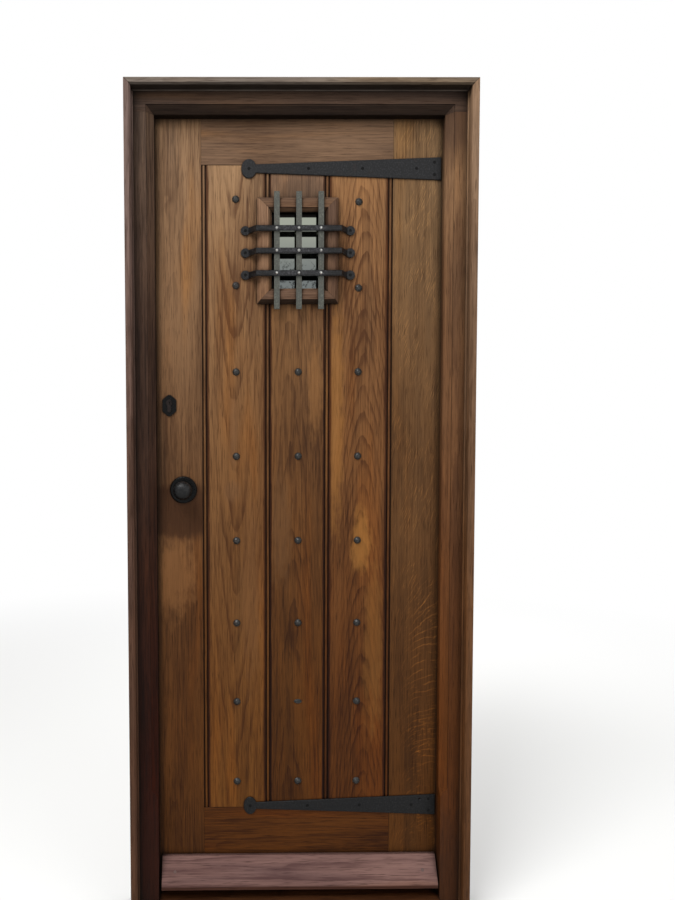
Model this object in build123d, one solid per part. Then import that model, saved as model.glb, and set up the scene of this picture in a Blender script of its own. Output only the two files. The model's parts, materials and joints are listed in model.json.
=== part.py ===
from build123d import *
import os

# Boarded oak entrance door, hung in its rebated frame.
# X runs to the right seen from outside, Y runs inwards and Z up, in millimetres.
# The origin is at the middle of the frame's width, on the leaf's outer face and
# the underside of the sill. The lock is on the -X side and the hinges on +X.
# The leaf opens inwards. At rest it is shut, with latch and deadbolt drawn back.

# Leaf and frame
LEAF_W = 762.0
LEAF_H = 2032.0
LEAF_T = 54.0
EDGE_GAP = 3.0
SILL_GAP = 4.0
STOP_LAP = 12.0
STOP_T = 41.0
SEAL_GAP = 3.0
JAMB_W = 70.0
SILL_H = 46.0
SILL_NOSE = 26.0
SILL_FALL = 9.0
SILL_ROUND = 5.0
DRIP_W = 6.0
DRIP_D = 4.0

# Stopped chamfer with a small step round the frame's inner front edge
CHAMFER = 17.0
STEP_W = 1.5
STEP_D = 2.0
CHAMFER_END = 336.0
CHAMFER_RUNOUT = 21.0

# Trim planted on the frame's face
TRIM_W = 17.0
TRIM_PROUD = 32.0
TRIM_BEVEL = 5.0
FOOT_W = 3.5

# Fixing holes through the jambs
FIXING_R = 4.5
FIXING_UP = 520.0
FIXING_DOWN = 110.0

# Weather seals
SEAL_W = 7.0
SEAL_EDGE = 2.5
SEAL_FREE = 0.3
BOTTOM_SEAL_W = 14.0
BOTTOM_SEAL_D = 3.0

# Stiles, rails and boards
LOCK_STILE_W = 130.0
HINGE_STILE_W = 137.5
TOP_RAIL_H = 126.5
BOTTOM_RAIL_H = 219.0
BOARD_T = 24.0
JOINT_PAST_SIGHT = 3.5
END_GAP = 0.8
BEAD_W = 7.0
BEAD_QUIRK = 3.0
BEAD_D = 4.0
TONGUE_T = 6.0
TONGUE_L = 8.0
TONGUE_FREE = 0.1
TENON_T = 18.0
TENON_L = 70.0
TENON_SHOULDER = 20.0
LEDGE_H = 80.0
MIDDLE_LEDGE_H = 120.0
LEDGE_TENON_T = 12.0
LEDGE_TENON_L = 40.0

# Window
WINDOW_SHIFT = 0.75
WINDOW_DROP = 219.0
SIGHT_W = 134.0
SIGHT_H = 194.0
MOULD_W = 37.5
MOULD_PROUD = 20.0
MOULD_BEVEL_W = 9.0
MOULD_BEVEL_D = 7.5
MOULD_STEP = 1.5
MOULD_EDGE_W = 9.0
MOULD_EDGE_D = 12.0
LINING_T = 10.0
GLASS_LAP = 8.0
GLASS_GAP = 1.0
PANE_T = 4.0
SPACER_W = 6.0
SPACER_T = 12.0
GLAZING_BEAD_T = 12.0
GLAZING_BEAD_SLOPE = 4.0

# Grille
BAR_W = 14.0
BAR_T = 6.0
BAR_BEVEL = 2.2
GRID = 56.5
GRILLE_SHIFT = 0.8
GRILLE_DROP = 5.0
UPRIGHT_W = 14.0
UPRIGHT_PAST = 13.5
UPRIGHT_SHIFT = 0.8
UPRIGHT_DROP = 3.5
BAR_PAST = 1.5
NECK_RUN = 19.0
EYE_REACH = 10.5
EYE_R = 11.5
EYE_T = 5.0
RIVET_R = 4.0
RIVET_H = 3.0
RIVET_BACK = 1.5
RIVET_SHANK = 3.5

# Dummy hinge straps
STRAP_T = 4.0
STRAP_BEVEL = 1.0
STRAP_END_GAP = 3.0
STRAP_L = 494.0
TOP_STRAP_DROP = 10.0
TOP_STRAP_END = 57.0
TOP_STRAP_NECK = 20.0
TOP_PENNY_W = 39.0
TOP_PENNY_H = 48.0
LOW_STRAP_RISE = 5.5
LOW_STRAP_END = 54.0
LOW_STRAP_NECK = 16.0
LOW_PENNY_W = 34.0
LOW_PENNY_H = 46.0
STRAP_SCREW_IN = 63.5
STRAP_SCREW_STEPS = 3.1
STRAP_PAIR_IN = 17.5
STRAP_PAIR_HALF = 15.5
SPARE_HOLE_IN = 40.7

# Forged studs, nailed through the boards
STUD_R = 10.0
STUD_RIM_H = 3.6
STUD_CROWN_H = 3.0
STUD_RIM_TAPER = 30
STUD_CROWN_TAPER = 52
NAIL_W = 4.0
NAIL_L = 18.0
STUD_UP = 71.0
STUD_DOWN = 86.5
LOW_STUD_SHARES = (0, 0.1413, 0.2793)
HIGH_STUD_SHARES = (0.5674, 0.7109, 0.8564, 1)
STUD_SHIFT = 2.5
STUD_DROP = 6.5
STUD_TURN = 17
FLAT_STUD_ROW = 1
FLAT_STUD_W = 21.0
FLAT_STUD_H = 12.0
FLAT_STUD_T = 2.5
FLAT_STUD_TAPER = 35

# Weatherboard
WEATHER_UP = 19.0
WEATHER_H = 74.0
WEATHER_TOP_T = 11.0
WEATHER_PROUD = 45.0
WEATHER_NOSE_H = 10.0
WEATHER_HINGE_GAP = 3.5
WEATHER_LOCK_GAP = 6.5
WEATHER_SCREW_IN = 41.0
WEATHER_SCREW_UP = 41.0

# Screws
SCREW_HEAD_R = 4.0
SCREW_SHANK_R = 2.0
SCREW_HEAD_H = 2.0
SMALL_HEAD_R = 3.0
SMALL_SHANK_R = 1.5
SMALL_HEAD_H = 1.5
SCREW_FREE = 0.05

# Knob set and latch
KNOB_BACKSET = 80.0
KNOB_UP = 1070.5
KNOB_OVER_LEDGE = 134.4975
ROSE_R = 35.0
ROSE_T = 6.0
ROSE_BEVEL = 2.5
KNOB_R = 24.0
KNOB_PROUD = 59.0
KNOB_WAIST = 40.0
KNOB_FLAT_R = 6.0
NECK_R = 9.0
NECK_L = 24.0
NECK_FREE = 0.1
NECK_FOOT = 1.0
SPINDLE_W = 8.0
SPINDLE_GRIP = 20.0
SPINDLE_HOLE_R = 7.0
HUB_FREE = 0.05
HUB_W = 16.0
LATCH_R = 11.0
LATCH_L = 105.0
LATCH_FREE = 0.1
LATCH_PLATE_W = 25.0
LATCH_PLATE_H = 57.0
LATCH_PLATE_FREE = 0.3
FACEPLATE_T = 3.0
LATCH_BOLT_W = 11.0
LATCH_BOLT_H = 15.0
LATCH_BOLT_L = 51.0
LATCH_TAIL_L = 16.0
LATCH_TAIL_W = 4.0
LATCH_BEVEL_L = 12.0
LATCH_TIP = 2.0
LATCH_THROW = 12.0
BOLT_FREE = 0.1

# Cylinder deadlock
LOCK_BACKSET = 44.6
PLUG_UP = 227.0
PLUG_R = 6.5
PLUG_FREE = 0.05
CYLINDER_R = 8.5
CYLINDER_TAIL_W = 10.0
CYLINDER_TAIL_L = 24.5
CYLINDER_PROUD = 5.0
CYLINDER_FREE = 0.3
CAM_R = 15.0
CAM_W = 9.4
CAM_FREE = 0.3
KEYWAY_W = 2.0
KEYWAY_H = 8.0
KEYWAY_D = 8.0
TURN_W = 24.0
TURN_T = 6.0
TURN_L = 14.0
CASE_D = 73.0
CASE_T = 14.0
CASE_BELOW = 32.0
CASE_ABOVE = 52.0
CASE_FREE = 0.1
LOCK_PLATE_W = 22.0
LOCK_PLATE_LAP = 14.0
DEADBOLT_W = 10.0
DEADBOLT_H = 25.0
DEADBOLT_L = 62.0
DEADBOLT_UP = 31.0
DEADBOLT_THROW = 20.0
ESCUTCHEON_W = 35.5
ESCUTCHEON_H = 54.5
ESCUTCHEON_T = 3.0
ESCUTCHEON_CORNER_W = 14.5
ESCUTCHEON_CORNER_H = 12.5
ESCUTCHEON_DROP = 7.2
ESCUTCHEON_SCREW = 21.8

# Strikes in the lock jamb
STRIKE_T = 2.0
STRIKE_W = 30.0
STRIKE_LAP = 18.0
POCKET_FREE = 1.0
POCKET_DEEP = 3.0
STRIKE_SCREW_IN = 8.0

# Butt hinges
HINGE_H = 100.0
HINGE_PLATE_T = 2.8
HINGE_PLATE_W = 34.0
HINGE_PLATE_FREE = 0.4
KNUCKLE_R = 5.5
KNUCKLE_FREE = 0.3
KNUCKLE_STAND = 0.5
PIN_R = 3.0
PIN_FREE = 0.05
PIN_CAP_R = 5.0
PIN_CAP_H = 3.0
HINGE_UP = 250.0
HINGE_DOWN = 202.0
HINGE_SCREW_SHARES = (-0.38, -0.14, 0.14, 0.38)
HINGE_SCREW_IN = 10.0
HINGE_SCREW_STAGGER = 12.0

# Places that follow from the sizes above
LEAF_X = LEAF_W / 2
REBATE_X = LEAF_X + EDGE_GAP
STOP_X = LEAF_X - STOP_LAP
FRAME_X = STOP_X + JAMB_W
FACE_Y = -SEAL_GAP - STOP_T
LEAF_LOW = SILL_H + SILL_GAP
LEAF_TOP = LEAF_LOW + LEAF_H
REBATE_TOP = LEAF_TOP + EDGE_GAP
STOP_TOP = LEAF_TOP - STOP_LAP
FRAME_TOP = STOP_TOP + JAMB_W
LOCK_EDGE_X = -LEAF_X + LOCK_STILE_W
HINGE_EDGE_X = LEAF_X - HINGE_STILE_W
BOARD_LOW = LEAF_LOW + BOTTOM_RAIL_H
BOARD_TOP = LEAF_TOP - TOP_RAIL_H
WINDOW_X = (LOCK_EDGE_X + HINGE_EDGE_X) / 2 + WINDOW_SHIFT
WINDOW_Z = BOARD_TOP - WINDOW_DROP
JOINT_1 = WINDOW_X - SIGHT_W / 2 - JOINT_PAST_SIGHT
JOINT_2 = WINDOW_X + SIGHT_W / 2 + JOINT_PAST_SIGHT
BEAD_HALF = BEAD_W / 2 + BEAD_QUIRK
BEADS = (
    LOCK_EDGE_X + BEAD_HALF,
    JOINT_1 - BEAD_HALF,
    JOINT_2 + BEAD_HALF,
    HINGE_EDGE_X - BEAD_HALF,
)
MID_Y = LEAF_T / 2
STUD_LOW = BOARD_LOW + STUD_UP
STUD_TOP = BOARD_TOP - STUD_DOWN
KNOB_Z = LEAF_LOW + KNOB_UP
MIDDLE_LEDGE_Z = KNOB_Z - KNOB_OVER_LEDGE
STUD_ROWS = (
    *(STUD_LOW + share * (STUD_TOP - STUD_LOW) for share in LOW_STUD_SHARES),
    MIDDLE_LEDGE_Z,
    *(STUD_LOW + share * (STUD_TOP - STUD_LOW) for share in HIGH_STUD_SHARES),
)
STUD_XS = (
    (LOCK_EDGE_X + JOINT_1) / 2,
    WINDOW_X + STUD_SHIFT,
    (JOINT_2 + HINGE_EDGE_X) / 2,
)
KNOB_X = -LEAF_X + KNOB_BACKSET
PLUG_Z = KNOB_Z + PLUG_UP
ESCUTCHEON_Z = PLUG_Z - ESCUTCHEON_DROP
LOCK_X = -LEAF_X + LOCK_BACKSET
STRAP_END_X = STOP_X - STRAP_END_GAP
STRAP_SCREW_PITCH = (STRAP_L - STRAP_SCREW_IN) / STRAP_SCREW_STEPS
PENNY_X = STRAP_END_X - STRAP_L
TOP_STRAP_Z = BOARD_TOP - TOP_STRAP_DROP
LOW_STRAP_Z = BOARD_LOW + LOW_STRAP_RISE
WEATHER_Z = LEAF_LOW + WEATHER_UP
WEATHER_SCREW_X = STOP_X - WEATHER_SCREW_IN
PIN_X = LEAF_X + EDGE_GAP / 2
PIN_Y = LEAF_T + KNUCKLE_R + KNUCKLE_STAND
HINGE_LOW = LEAF_LOW + HINGE_UP
HINGE_TOP = LEAF_TOP - HINGE_DOWN
HINGE_ZS = (HINGE_LOW, (HINGE_LOW + HINGE_TOP) / 2, HINGE_TOP)
LINING_W = SIGHT_W + 2 * (GLASS_LAP + GLASS_GAP + LINING_T)
LINING_H = SIGHT_H + 2 * (GLASS_LAP + GLASS_GAP + LINING_T)
UNIT_T = PANE_T + SPACER_T + PANE_T
DEADBOLT_Z = PLUG_Z + DEADBOLT_UP
FIXING_ZS = (FIXING_UP, (KNOB_Z + DEADBOLT_Z) / 2, STOP_TOP - FIXING_DOWN)
BAR_BACK_Y = -MOULD_PROUD - BAR_T
BAR_FRONT_Y = BAR_BACK_Y - BAR_T
GRILLE_X = WINDOW_X + GRILLE_SHIFT
GRILLE_Z = WINDOW_Z - GRILLE_DROP
UPRIGHT_Z = WINDOW_Z - UPRIGHT_DROP
UPRIGHT_L = SIGHT_H + 2 * MOULD_W + 2 * UPRIGHT_PAST
BAR_PROUD_HALF = SIGHT_W / 2 + MOULD_W + BAR_PAST
EYE_HALF = BAR_PROUD_HALF + NECK_RUN + EYE_REACH

LOW = (Align.CENTER, Align.CENTER, Align.MIN)


def block(x, y, z):
    """Box between two limits on each axis."""
    middle = Pos((x[0] + x[1]) / 2, (y[0] + y[1]) / 2, (z[0] + z[1]) / 2)
    return middle * Box(x[1] - x[0], y[1] - y[0], z[1] - z[0])


def span(middle, width):
    """Limits of a width about its middle."""
    return (middle - width / 2, middle + width / 2)


def prism_x(points, x):
    """Profile of (y, z) points run along X."""
    face = Plane.YZ.offset(x[0]) * Polygon(*points, align=None)
    return extrude(face, amount=x[1] - x[0], dir=(1, 0, 0))


def prism_y(points, y):
    """Profile of (x, z) points run along Y."""
    face = Plane.XZ.offset(-y[1]) * Polygon(*points, align=None)
    return extrude(face, amount=y[1] - y[0], dir=(0, -1, 0))


def prism_z(points, z):
    """Profile of (x, y) points run along Z."""
    face = Plane.XY.offset(z[0]) * Polygon(*points, align=None)
    return extrude(face, amount=z[1] - z[0], dir=(0, 0, 1))


def rod_x(radius, y, z, x):
    """Round bar along X."""
    return Pos(x[0], y, z) * Rot(0, 90, 0) * Cylinder(radius, x[1] - x[0], align=LOW)


def rod_y(radius, x, z, y):
    """Round bar along Y."""
    return Pos(x, y[0], z) * Rot(-90, 0, 0) * Cylinder(radius, y[1] - y[0], align=LOW)


def outward(x, z, y=0.0):
    """Workplane on the outer side, its Z pointing at someone outside."""
    return Plane(origin=(x, y, z), x_dir=(1, 0, 0), z_dir=(0, -1, 0))


def inward(x, z, y=LEAF_T):
    """Workplane on the inner side, its Z pointing into the room."""
    return Plane(origin=(x, y, z), x_dir=(-1, 0, 0), z_dir=(0, 1, 0))


def group(solids):
    """Separate solids that share one node."""
    return Compound(children=list(solids))


def screw(depth, head_r=SCREW_HEAD_R, shank_r=SCREW_SHANK_R, head_h=SCREW_HEAD_H, free=0.0):
    """Countersunk screw pointing down Z with its head at Z 0. A free size makes its hole."""
    head = Pos(0, 0, -head_h) * Cone(shank_r + free, head_r + free, head_h, align=LOW)
    return head + Pos(0, 0, -depth) * Cylinder(shank_r + free, depth - head_h + free, align=LOW)


def small_screw(depth, free=0.0):
    """Countersunk screw of the small size."""
    return screw(depth, SMALL_HEAD_R, SMALL_SHANK_R, SMALL_HEAD_H, free)


# Frame


def chamfer_tool():
    """Material taken off round the frame's inner front edge: a step, then a bevel."""
    low = CHAMFER_END - CHAMFER_RUNOUT - 2 * CHAMFER
    step_y = FACE_Y + STEP_D
    step = block(
        (-STOP_X - CHAMFER - STEP_W, STOP_X + CHAMFER + STEP_W),
        (FACE_Y, step_y),
        (low, STOP_TOP + CHAMFER + STEP_W),
    )
    middle = (low + STOP_TOP + CHAMFER) / 2
    mouth = Rectangle(2 * (STOP_X + CHAMFER), STOP_TOP + CHAMFER - low)
    face = Plane(origin=(0, step_y, middle), x_dir=(1, 0, 0), z_dir=(0, 1, 0)) * mouth
    return step + extrude(face, amount=CHAMFER, taper=45)


def stopped_chamfer(side):
    """Chamfer tool for one jamb, ended above the sill by a sloping cut. Side is -1 or 1."""
    corner = Vector(side * STOP_X, FACE_Y, CHAMFER_END - CHAMFER_RUNOUT)
    on_face = Vector(side * (STOP_X + CHAMFER), FACE_Y, CHAMFER_END)
    on_reveal = Vector(side * STOP_X, FACE_Y + CHAMFER + STEP_D, CHAMFER_END)
    normal = (on_face - corner).cross(on_reveal - corner)
    if normal.Z < 0:
        normal = normal * -1
    half = chamfer_tool() & block(sorted((0, side * FRAME_X)), (FACE_Y, 0), (0, FRAME_TOP))
    return split(half, Plane(origin=corner, z_dir=normal), keep=Keep.TOP)


def fixing_holes(side):
    """Holes through one jamb, behind the leaf's edge, for the screws into the wall."""
    limits = sorted((side * REBATE_X, side * FRAME_X))
    return [rod_x(FIXING_R, MID_Y, z, limits) for z in FIXING_ZS]


def jamb(side):
    """Rebated upright of the frame. Side is -1 at the lock and 1 at the hinges."""
    section = [
        (side * STOP_X, FACE_Y),
        (side * FRAME_X, FACE_Y),
        (side * FRAME_X, LEAF_T),
        (side * REBATE_X, LEAF_T),
        (side * REBATE_X, -SEAL_GAP),
        (side * STOP_X, -SEAL_GAP),
    ]
    post = prism_z(section, (0, STOP_TOP)) - stopped_chamfer(side)
    for hole in fixing_holes(side):
        post -= hole
    return post


def lock_jamb():
    """Jamb with the recesses and pockets for the two strikes."""
    post = jamb(-1)
    for strike_z, bolt_w, bolt_h, throw in strikes():
        half = bolt_h / 2 + STRIKE_LAP
        post -= block(
            (-REBATE_X - STRIKE_T, -REBATE_X), span(MID_Y, STRIKE_W), (strike_z - half, strike_z + half)
        )
        post -= block(
            (-LEAF_X - throw - POCKET_DEEP, -REBATE_X),
            span(MID_Y, bolt_w + 2 * POCKET_FREE),
            span(strike_z, bolt_h + 2 * POCKET_FREE),
        )
    return post


def hinge_jamb():
    """Jamb with the sinkings for the three hinges."""
    post = jamb(1)
    for z in HINGE_ZS:
        post -= block(
            (REBATE_X, frame_plate_x()[1]), (PIN_Y - HINGE_PLATE_W, LEAF_T), span(z, HINGE_H)
        )
    return post


def frame_head():
    """Head of the frame, running over both jambs."""
    head = block((-FRAME_X, FRAME_X), (FACE_Y, LEAF_T), (STOP_TOP, FRAME_TOP))
    head -= block((-REBATE_X, REBATE_X), (-SEAL_GAP, LEAF_T), (STOP_TOP, REBATE_TOP))
    return head - chamfer_tool()


def sill():
    """Weathered sill between the jambs, with a drip under its nose."""
    front = FACE_Y - SILL_NOSE
    profile = [
        (front, 0),
        (front, SILL_H - SILL_FALL),
        (-SEAL_GAP, SILL_H),
        (LEAF_T, SILL_H),
        (LEAF_T, 0),
    ]
    body = prism_x(profile, (-STOP_X, STOP_X))
    nose = body.edges().filter_by(Axis.X).group_by(Axis.Y)[0]
    body = fillet(nose.sort_by(Axis.Z)[-1], SILL_ROUND)
    body += block((-REBATE_X, REBATE_X), (-SEAL_GAP, LEAF_T), (0, SILL_H))
    drip = span(front + 2 * DRIP_W, DRIP_W)
    body -= block((-STOP_X, STOP_X), drip, (0, DRIP_D))
    groove = span(MID_Y, BOTTOM_SEAL_W)
    return body - block((-LEAF_X, LEAF_X), groove, (SILL_H - BOTTOM_SEAL_D, SILL_H))


def trim_section():
    """Trim profile: X runs outwards from its inner edge and Y out of the frame's face."""
    face = Polygon((0, 0), (TRIM_W, 0), (TRIM_W, TRIM_PROUD), (0, TRIM_PROUD), align=None)
    face = chamfer(face.vertices().group_by(Axis.Y)[-1].sort_by(Axis.X)[0], TRIM_BEVEL)
    return face + Polygon((-FOOT_W, 0), (0, 0), (0, FOOT_W), align=None)


def mitred(side):
    """Space of one side trim, cut off along the mitre with the head trim."""
    inner = FRAME_X - TRIM_W - FOOT_W
    drop = FRAME_X - inner
    points = [
        (side * inner, 0),
        (side * FRAME_X, 0),
        (side * FRAME_X, FRAME_TOP),
        (side * inner, FRAME_TOP - drop),
    ]
    return prism_y(points, (FACE_Y - TRIM_PROUD - 1, FACE_Y))


def side_trim(side):
    """Upright trim on one jamb, mitred at its top."""
    foot = Plane(
        origin=(side * (FRAME_X - TRIM_W), FACE_Y, 0), x_dir=(side, 0, 0), z_dir=(0, 0, -side)
    )
    bar = extrude(foot * trim_section(), amount=FRAME_TOP, both=True)
    return bar & mitred(side)


def head_trim():
    """Trim along the head, mitred at both ends."""
    base = Plane(origin=(0, FACE_Y, FRAME_TOP - TRIM_W), x_dir=(0, 0, 1), z_dir=(1, 0, 0))
    bar = extrude(base * trim_section(), amount=FRAME_X, both=True)
    return bar - mitred(-1) - mitred(1)


def weather_seals():
    """Rubber strips on the two stops, under the head and in the sill."""
    outer = LEAF_X - SEAL_EDGE
    inner = outer - SEAL_W
    y = (-SEAL_GAP, -SEAL_FREE)
    top = (LEAF_TOP - SEAL_EDGE - SEAL_W, LEAF_TOP - SEAL_EDGE)
    return group([
        block((-outer, -inner), y, (SILL_H, top[0])),
        block((inner, outer), y, (SILL_H, top[0])),
        block((-outer, outer), y, top),
        block(
            (-LEAF_X, LEAF_X),
            span(MID_Y, BOTTOM_SEAL_W),
            (SILL_H - BOTTOM_SEAL_D, LEAF_LOW - SEAL_FREE),
        ),
    ])


# Strikes


def strikes():
    """Height, bolt width, bolt height and throw of the latch and the deadbolt."""
    return (
        (KNOB_Z, LATCH_BOLT_W, LATCH_BOLT_H, LATCH_THROW),
        (DEADBOLT_Z, DEADBOLT_W, DEADBOLT_H, DEADBOLT_THROW),
    )


def strike_screw_zs(z, bolt_h):
    """Heights of a strike's two screws."""
    reach = bolt_h / 2 + STRIKE_LAP - STRIKE_SCREW_IN
    return (z - reach, z + reach)


def jamb_plane(z):
    """Workplane on the lock jamb's rebate, its Z pointing at the leaf."""
    return Plane(origin=(-REBATE_X, MID_Y, z), x_dir=(0, 1, 0), z_dir=(1, 0, 0))


def strike(index):
    """Flat strike plate let into the lock jamb."""
    z, bolt_w, bolt_h, _ = strikes()[index]
    plate = block(
        (-REBATE_X - STRIKE_T, -REBATE_X), span(MID_Y, STRIKE_W), span(z, bolt_h + 2 * STRIKE_LAP)
    )
    plate -= block(
        (-REBATE_X - STRIKE_T, -REBATE_X),
        span(MID_Y, bolt_w + 2 * POCKET_FREE),
        span(z, bolt_h + 2 * POCKET_FREE),
    )
    for screw_z in strike_screw_zs(z, bolt_h):
        plate -= jamb_plane(screw_z) * small_screw(STRIKE_T, SCREW_FREE)
    return plate


def strike_screws():
    """Screws of both strikes."""
    return [
        jamb_plane(screw_z) * small_screw(STRIKE_T)
        for z, _, bolt_h, _ in strikes()
        for screw_z in strike_screw_zs(z, bolt_h)
    ]


# Hinges


def frame_plate_x():
    """Limits in X of the hinge plates on the jamb."""
    inner = PIN_X + HINGE_PLATE_FREE / 2
    return (inner, inner + HINGE_PLATE_T)


def leaf_plate_x():
    """Limits in X of the hinge plates on the leaf."""
    outer = PIN_X - HINGE_PLATE_FREE / 2
    return (outer - HINGE_PLATE_T, outer)


def hinge_screw_plane(side, z):
    """Workplanes of a hinge plate's screws, in two staggered rows. Side is -1 on the leaf."""
    face = frame_plate_x()[0] if side > 0 else leaf_plate_x()[1]
    spots = []
    for count, share in enumerate(HINGE_SCREW_SHARES):
        y = LEAF_T - HINGE_SCREW_IN - count % 2 * HINGE_SCREW_STAGGER
        at = (face, y, z + share * HINGE_H)
        spots.append(Plane(origin=at, x_dir=(0, 1, 0), z_dir=(-side, 0, 0)))
    return spots


def knuckles(z, own):
    """Barrels of one hinge half: the frame's own every other one from the ends."""
    pitch = HINGE_H / 5
    spans = []
    for count in range(5):
        if (count % 2 == 0) == own:
            low = z - HINGE_H / 2 + count * pitch
            spans.append((low + KNUCKLE_FREE / 2, low + pitch - KNUCKLE_FREE / 2))
    return spans


def hinge_half(side, z):
    """Plate and barrels of a butt hinge. Side is 1 on the frame and -1 on the leaf."""
    plate_x = frame_plate_x() if side > 0 else leaf_plate_x()
    reach = (PIN_Y - HINGE_PLATE_W, LEAF_T)
    half = block(plate_x, reach, span(z, HINGE_H))
    for low, high in knuckles(z, side > 0):
        barrel = Pos(PIN_X, PIN_Y, low) * Cylinder(KNUCKLE_R, high - low, align=LOW)
        web = block(plate_x, (LEAF_T, PIN_Y), (low, high))
        half += barrel + web
    half -= Pos(PIN_X, PIN_Y, z) * Cylinder(PIN_R + PIN_FREE, 2 * HINGE_H)
    for spot in hinge_screw_plane(side, z):
        half -= spot * screw(HINGE_PLATE_T, free=SCREW_FREE)
    return half


def hinge_screws(side):
    """Screws of all three hinges on one side."""
    return [
        spot * screw(HINGE_PLATE_T) for z in HINGE_ZS for spot in hinge_screw_plane(side, z)
    ]


def hinge_pin(z):
    """Loose pin with a button at each end."""
    pin = Cylinder(PIN_R, HINGE_H)
    cap = Cylinder(PIN_CAP_R, PIN_CAP_H, align=LOW)
    pin += Pos(0, 0, HINGE_H / 2) * cap
    pin += Pos(0, 0, -HINGE_H / 2 - PIN_CAP_H) * cap
    return Pos(PIN_X, PIN_Y, z) * pin


# Leaf joinery


def ledge_zs():
    """Height limits of the four ledges behind the boards, from the window down."""
    head = WINDOW_Z + LINING_H / 2
    foot = WINDOW_Z - LINING_H / 2
    return {
        "upper_ledge": (head, head + LEDGE_H),
        "window_ledge": (foot - LEDGE_H, foot),
        "middle_ledge": span(MIDDLE_LEDGE_Z, MIDDLE_LEDGE_H),
        "lower_ledge": span(STUD_ROWS[1], MIDDLE_LEDGE_H),
    }


def rail_tenons():
    """Tenon boxes of the two rails in Y and Z."""
    y = span(MID_Y, TENON_T)
    return [
        (y, (LEAF_LOW + TENON_SHOULDER, BOARD_LOW - TENON_SHOULDER)),
        (y, (BOARD_TOP + TENON_SHOULDER, LEAF_TOP - TENON_SHOULDER)),
    ]


def ledge_tenon(z):
    """Tenon box of one ledge in Y and Z."""
    y = span((BOARD_T + LEAF_T) / 2, LEDGE_TENON_T)
    return (y, (z[0] + TENON_SHOULDER / 2, z[1] - TENON_SHOULDER / 2))


def stile(x, inner_x, side):
    """Upright of the leaf with its groove and mortises. Side is 1 where the boards are at +X."""
    post = block(x, (0, LEAF_T), (LEAF_LOW, LEAF_TOP))
    groove_y = span(BOARD_T / 2, TONGUE_T + 2 * TONGUE_FREE)
    deep = TONGUE_L + TONGUE_FREE
    post -= block(
        sorted((inner_x, inner_x - side * deep)), groove_y, (BOARD_LOW - deep, BOARD_TOP + deep)
    )
    for y, z in rail_tenons():
        post -= block(sorted((inner_x, inner_x - side * TENON_L)), y, z)
    for z in ledge_zs().values():
        y, tenon_z = ledge_tenon(z)
        post -= block(sorted((inner_x, inner_x - side * LEDGE_TENON_L)), y, tenon_z)
    return post


def latch_plate_space(free=0.0):
    """Space of the latch's faceplate, with rounded ends."""
    plate = SlotOverall(LATCH_PLATE_H + 2 * free, LATCH_PLATE_W + 2 * free, rotation=90)
    base = Plane(origin=(-LEAF_X, MID_Y, KNOB_Z), x_dir=(0, 1, 0), z_dir=(1, 0, 0))
    return extrude(base * plate, amount=FACEPLATE_T)


def lock_plate_space():
    """Space of the deadlock's faceplate."""
    z = (PLUG_Z - CASE_BELOW - LOCK_PLATE_LAP, PLUG_Z + CASE_ABOVE + LOCK_PLATE_LAP)
    return block((-LEAF_X, -LEAF_X + FACEPLATE_T), span(MID_Y, LOCK_PLATE_W), z)


def case_space(free=0.0):
    """Space of the deadlock's case behind its faceplate."""
    return block(
        (-LEAF_X + FACEPLATE_T, -LEAF_X + FACEPLATE_T + CASE_D + free),
        span(MID_Y, CASE_T + 2 * free),
        (PLUG_Z - CASE_BELOW - free, PLUG_Z + CASE_ABOVE + free),
    )


def cylinder_profile(free=0.0):
    """Keyhole-shaped outline of the cylinder, round its plug's axis."""
    tail = CYLINDER_TAIL_L - CYLINDER_TAIL_W / 2
    outline = Circle(CYLINDER_R + free)
    outline += Pos(0, -tail / 2) * Rectangle(CYLINDER_TAIL_W + 2 * free, tail)
    return outline + Pos(0, -tail) * Circle(CYLINDER_TAIL_W / 2 + free)


def cylinder_space(free, proud):
    """The cylinder's outline run through the leaf and proud of both faces."""
    face = outward(LOCK_X, PLUG_Z, LEAF_T + proud) * cylinder_profile(free)
    return extrude(face, amount=LEAF_T + 2 * proud)


def lock_stile():
    """Stile with the bores and mortises for the latch and the deadlock."""
    post = stile((-LEAF_X, LOCK_EDGE_X), LOCK_EDGE_X, 1)
    post -= rod_x(LATCH_R + LATCH_FREE, MID_Y, KNOB_Z, (-LEAF_X, -LEAF_X + LATCH_L + LATCH_FREE))
    post -= rod_y(SPINDLE_HOLE_R, KNOB_X, KNOB_Z, (0, LEAF_T))
    post -= latch_plate_space(LATCH_PLATE_FREE)
    post -= case_space(CASE_FREE)
    post -= lock_plate_space()
    return post - cylinder_space(CYLINDER_FREE, 1.0)


def hinge_stile():
    """Stile with the sinkings for the three hinges."""
    post = stile((HINGE_EDGE_X, LEAF_X), HINGE_EDGE_X, -1)
    for z in HINGE_ZS:
        post -= block((leaf_plate_x()[0], LEAF_X), (PIN_Y - HINGE_PLATE_W, LEAF_T), span(z, HINGE_H))
    return post


def rail(z, tenon, groove_z):
    """Top or bottom rail with its tenons and the groove for the boards' ends."""
    body = block((LOCK_EDGE_X, HINGE_EDGE_X), (0, LEAF_T), z)
    body += block((LOCK_EDGE_X - TENON_L, HINGE_EDGE_X + TENON_L), *tenon)
    groove_y = span(BOARD_T / 2, TONGUE_T + 2 * TONGUE_FREE)
    return body - block((LOCK_EDGE_X, HINGE_EDGE_X), groove_y, groove_z)


def rails():
    """Bottom and top rail."""
    deep = TONGUE_L + TONGUE_FREE
    low_tenon, top_tenon = rail_tenons()
    return (
        rail((LEAF_LOW, BOARD_LOW), low_tenon, (BOARD_LOW - deep, BOARD_LOW)),
        rail((BOARD_TOP, LEAF_TOP), top_tenon, (BOARD_TOP, BOARD_TOP + deep)),
    )


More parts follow.
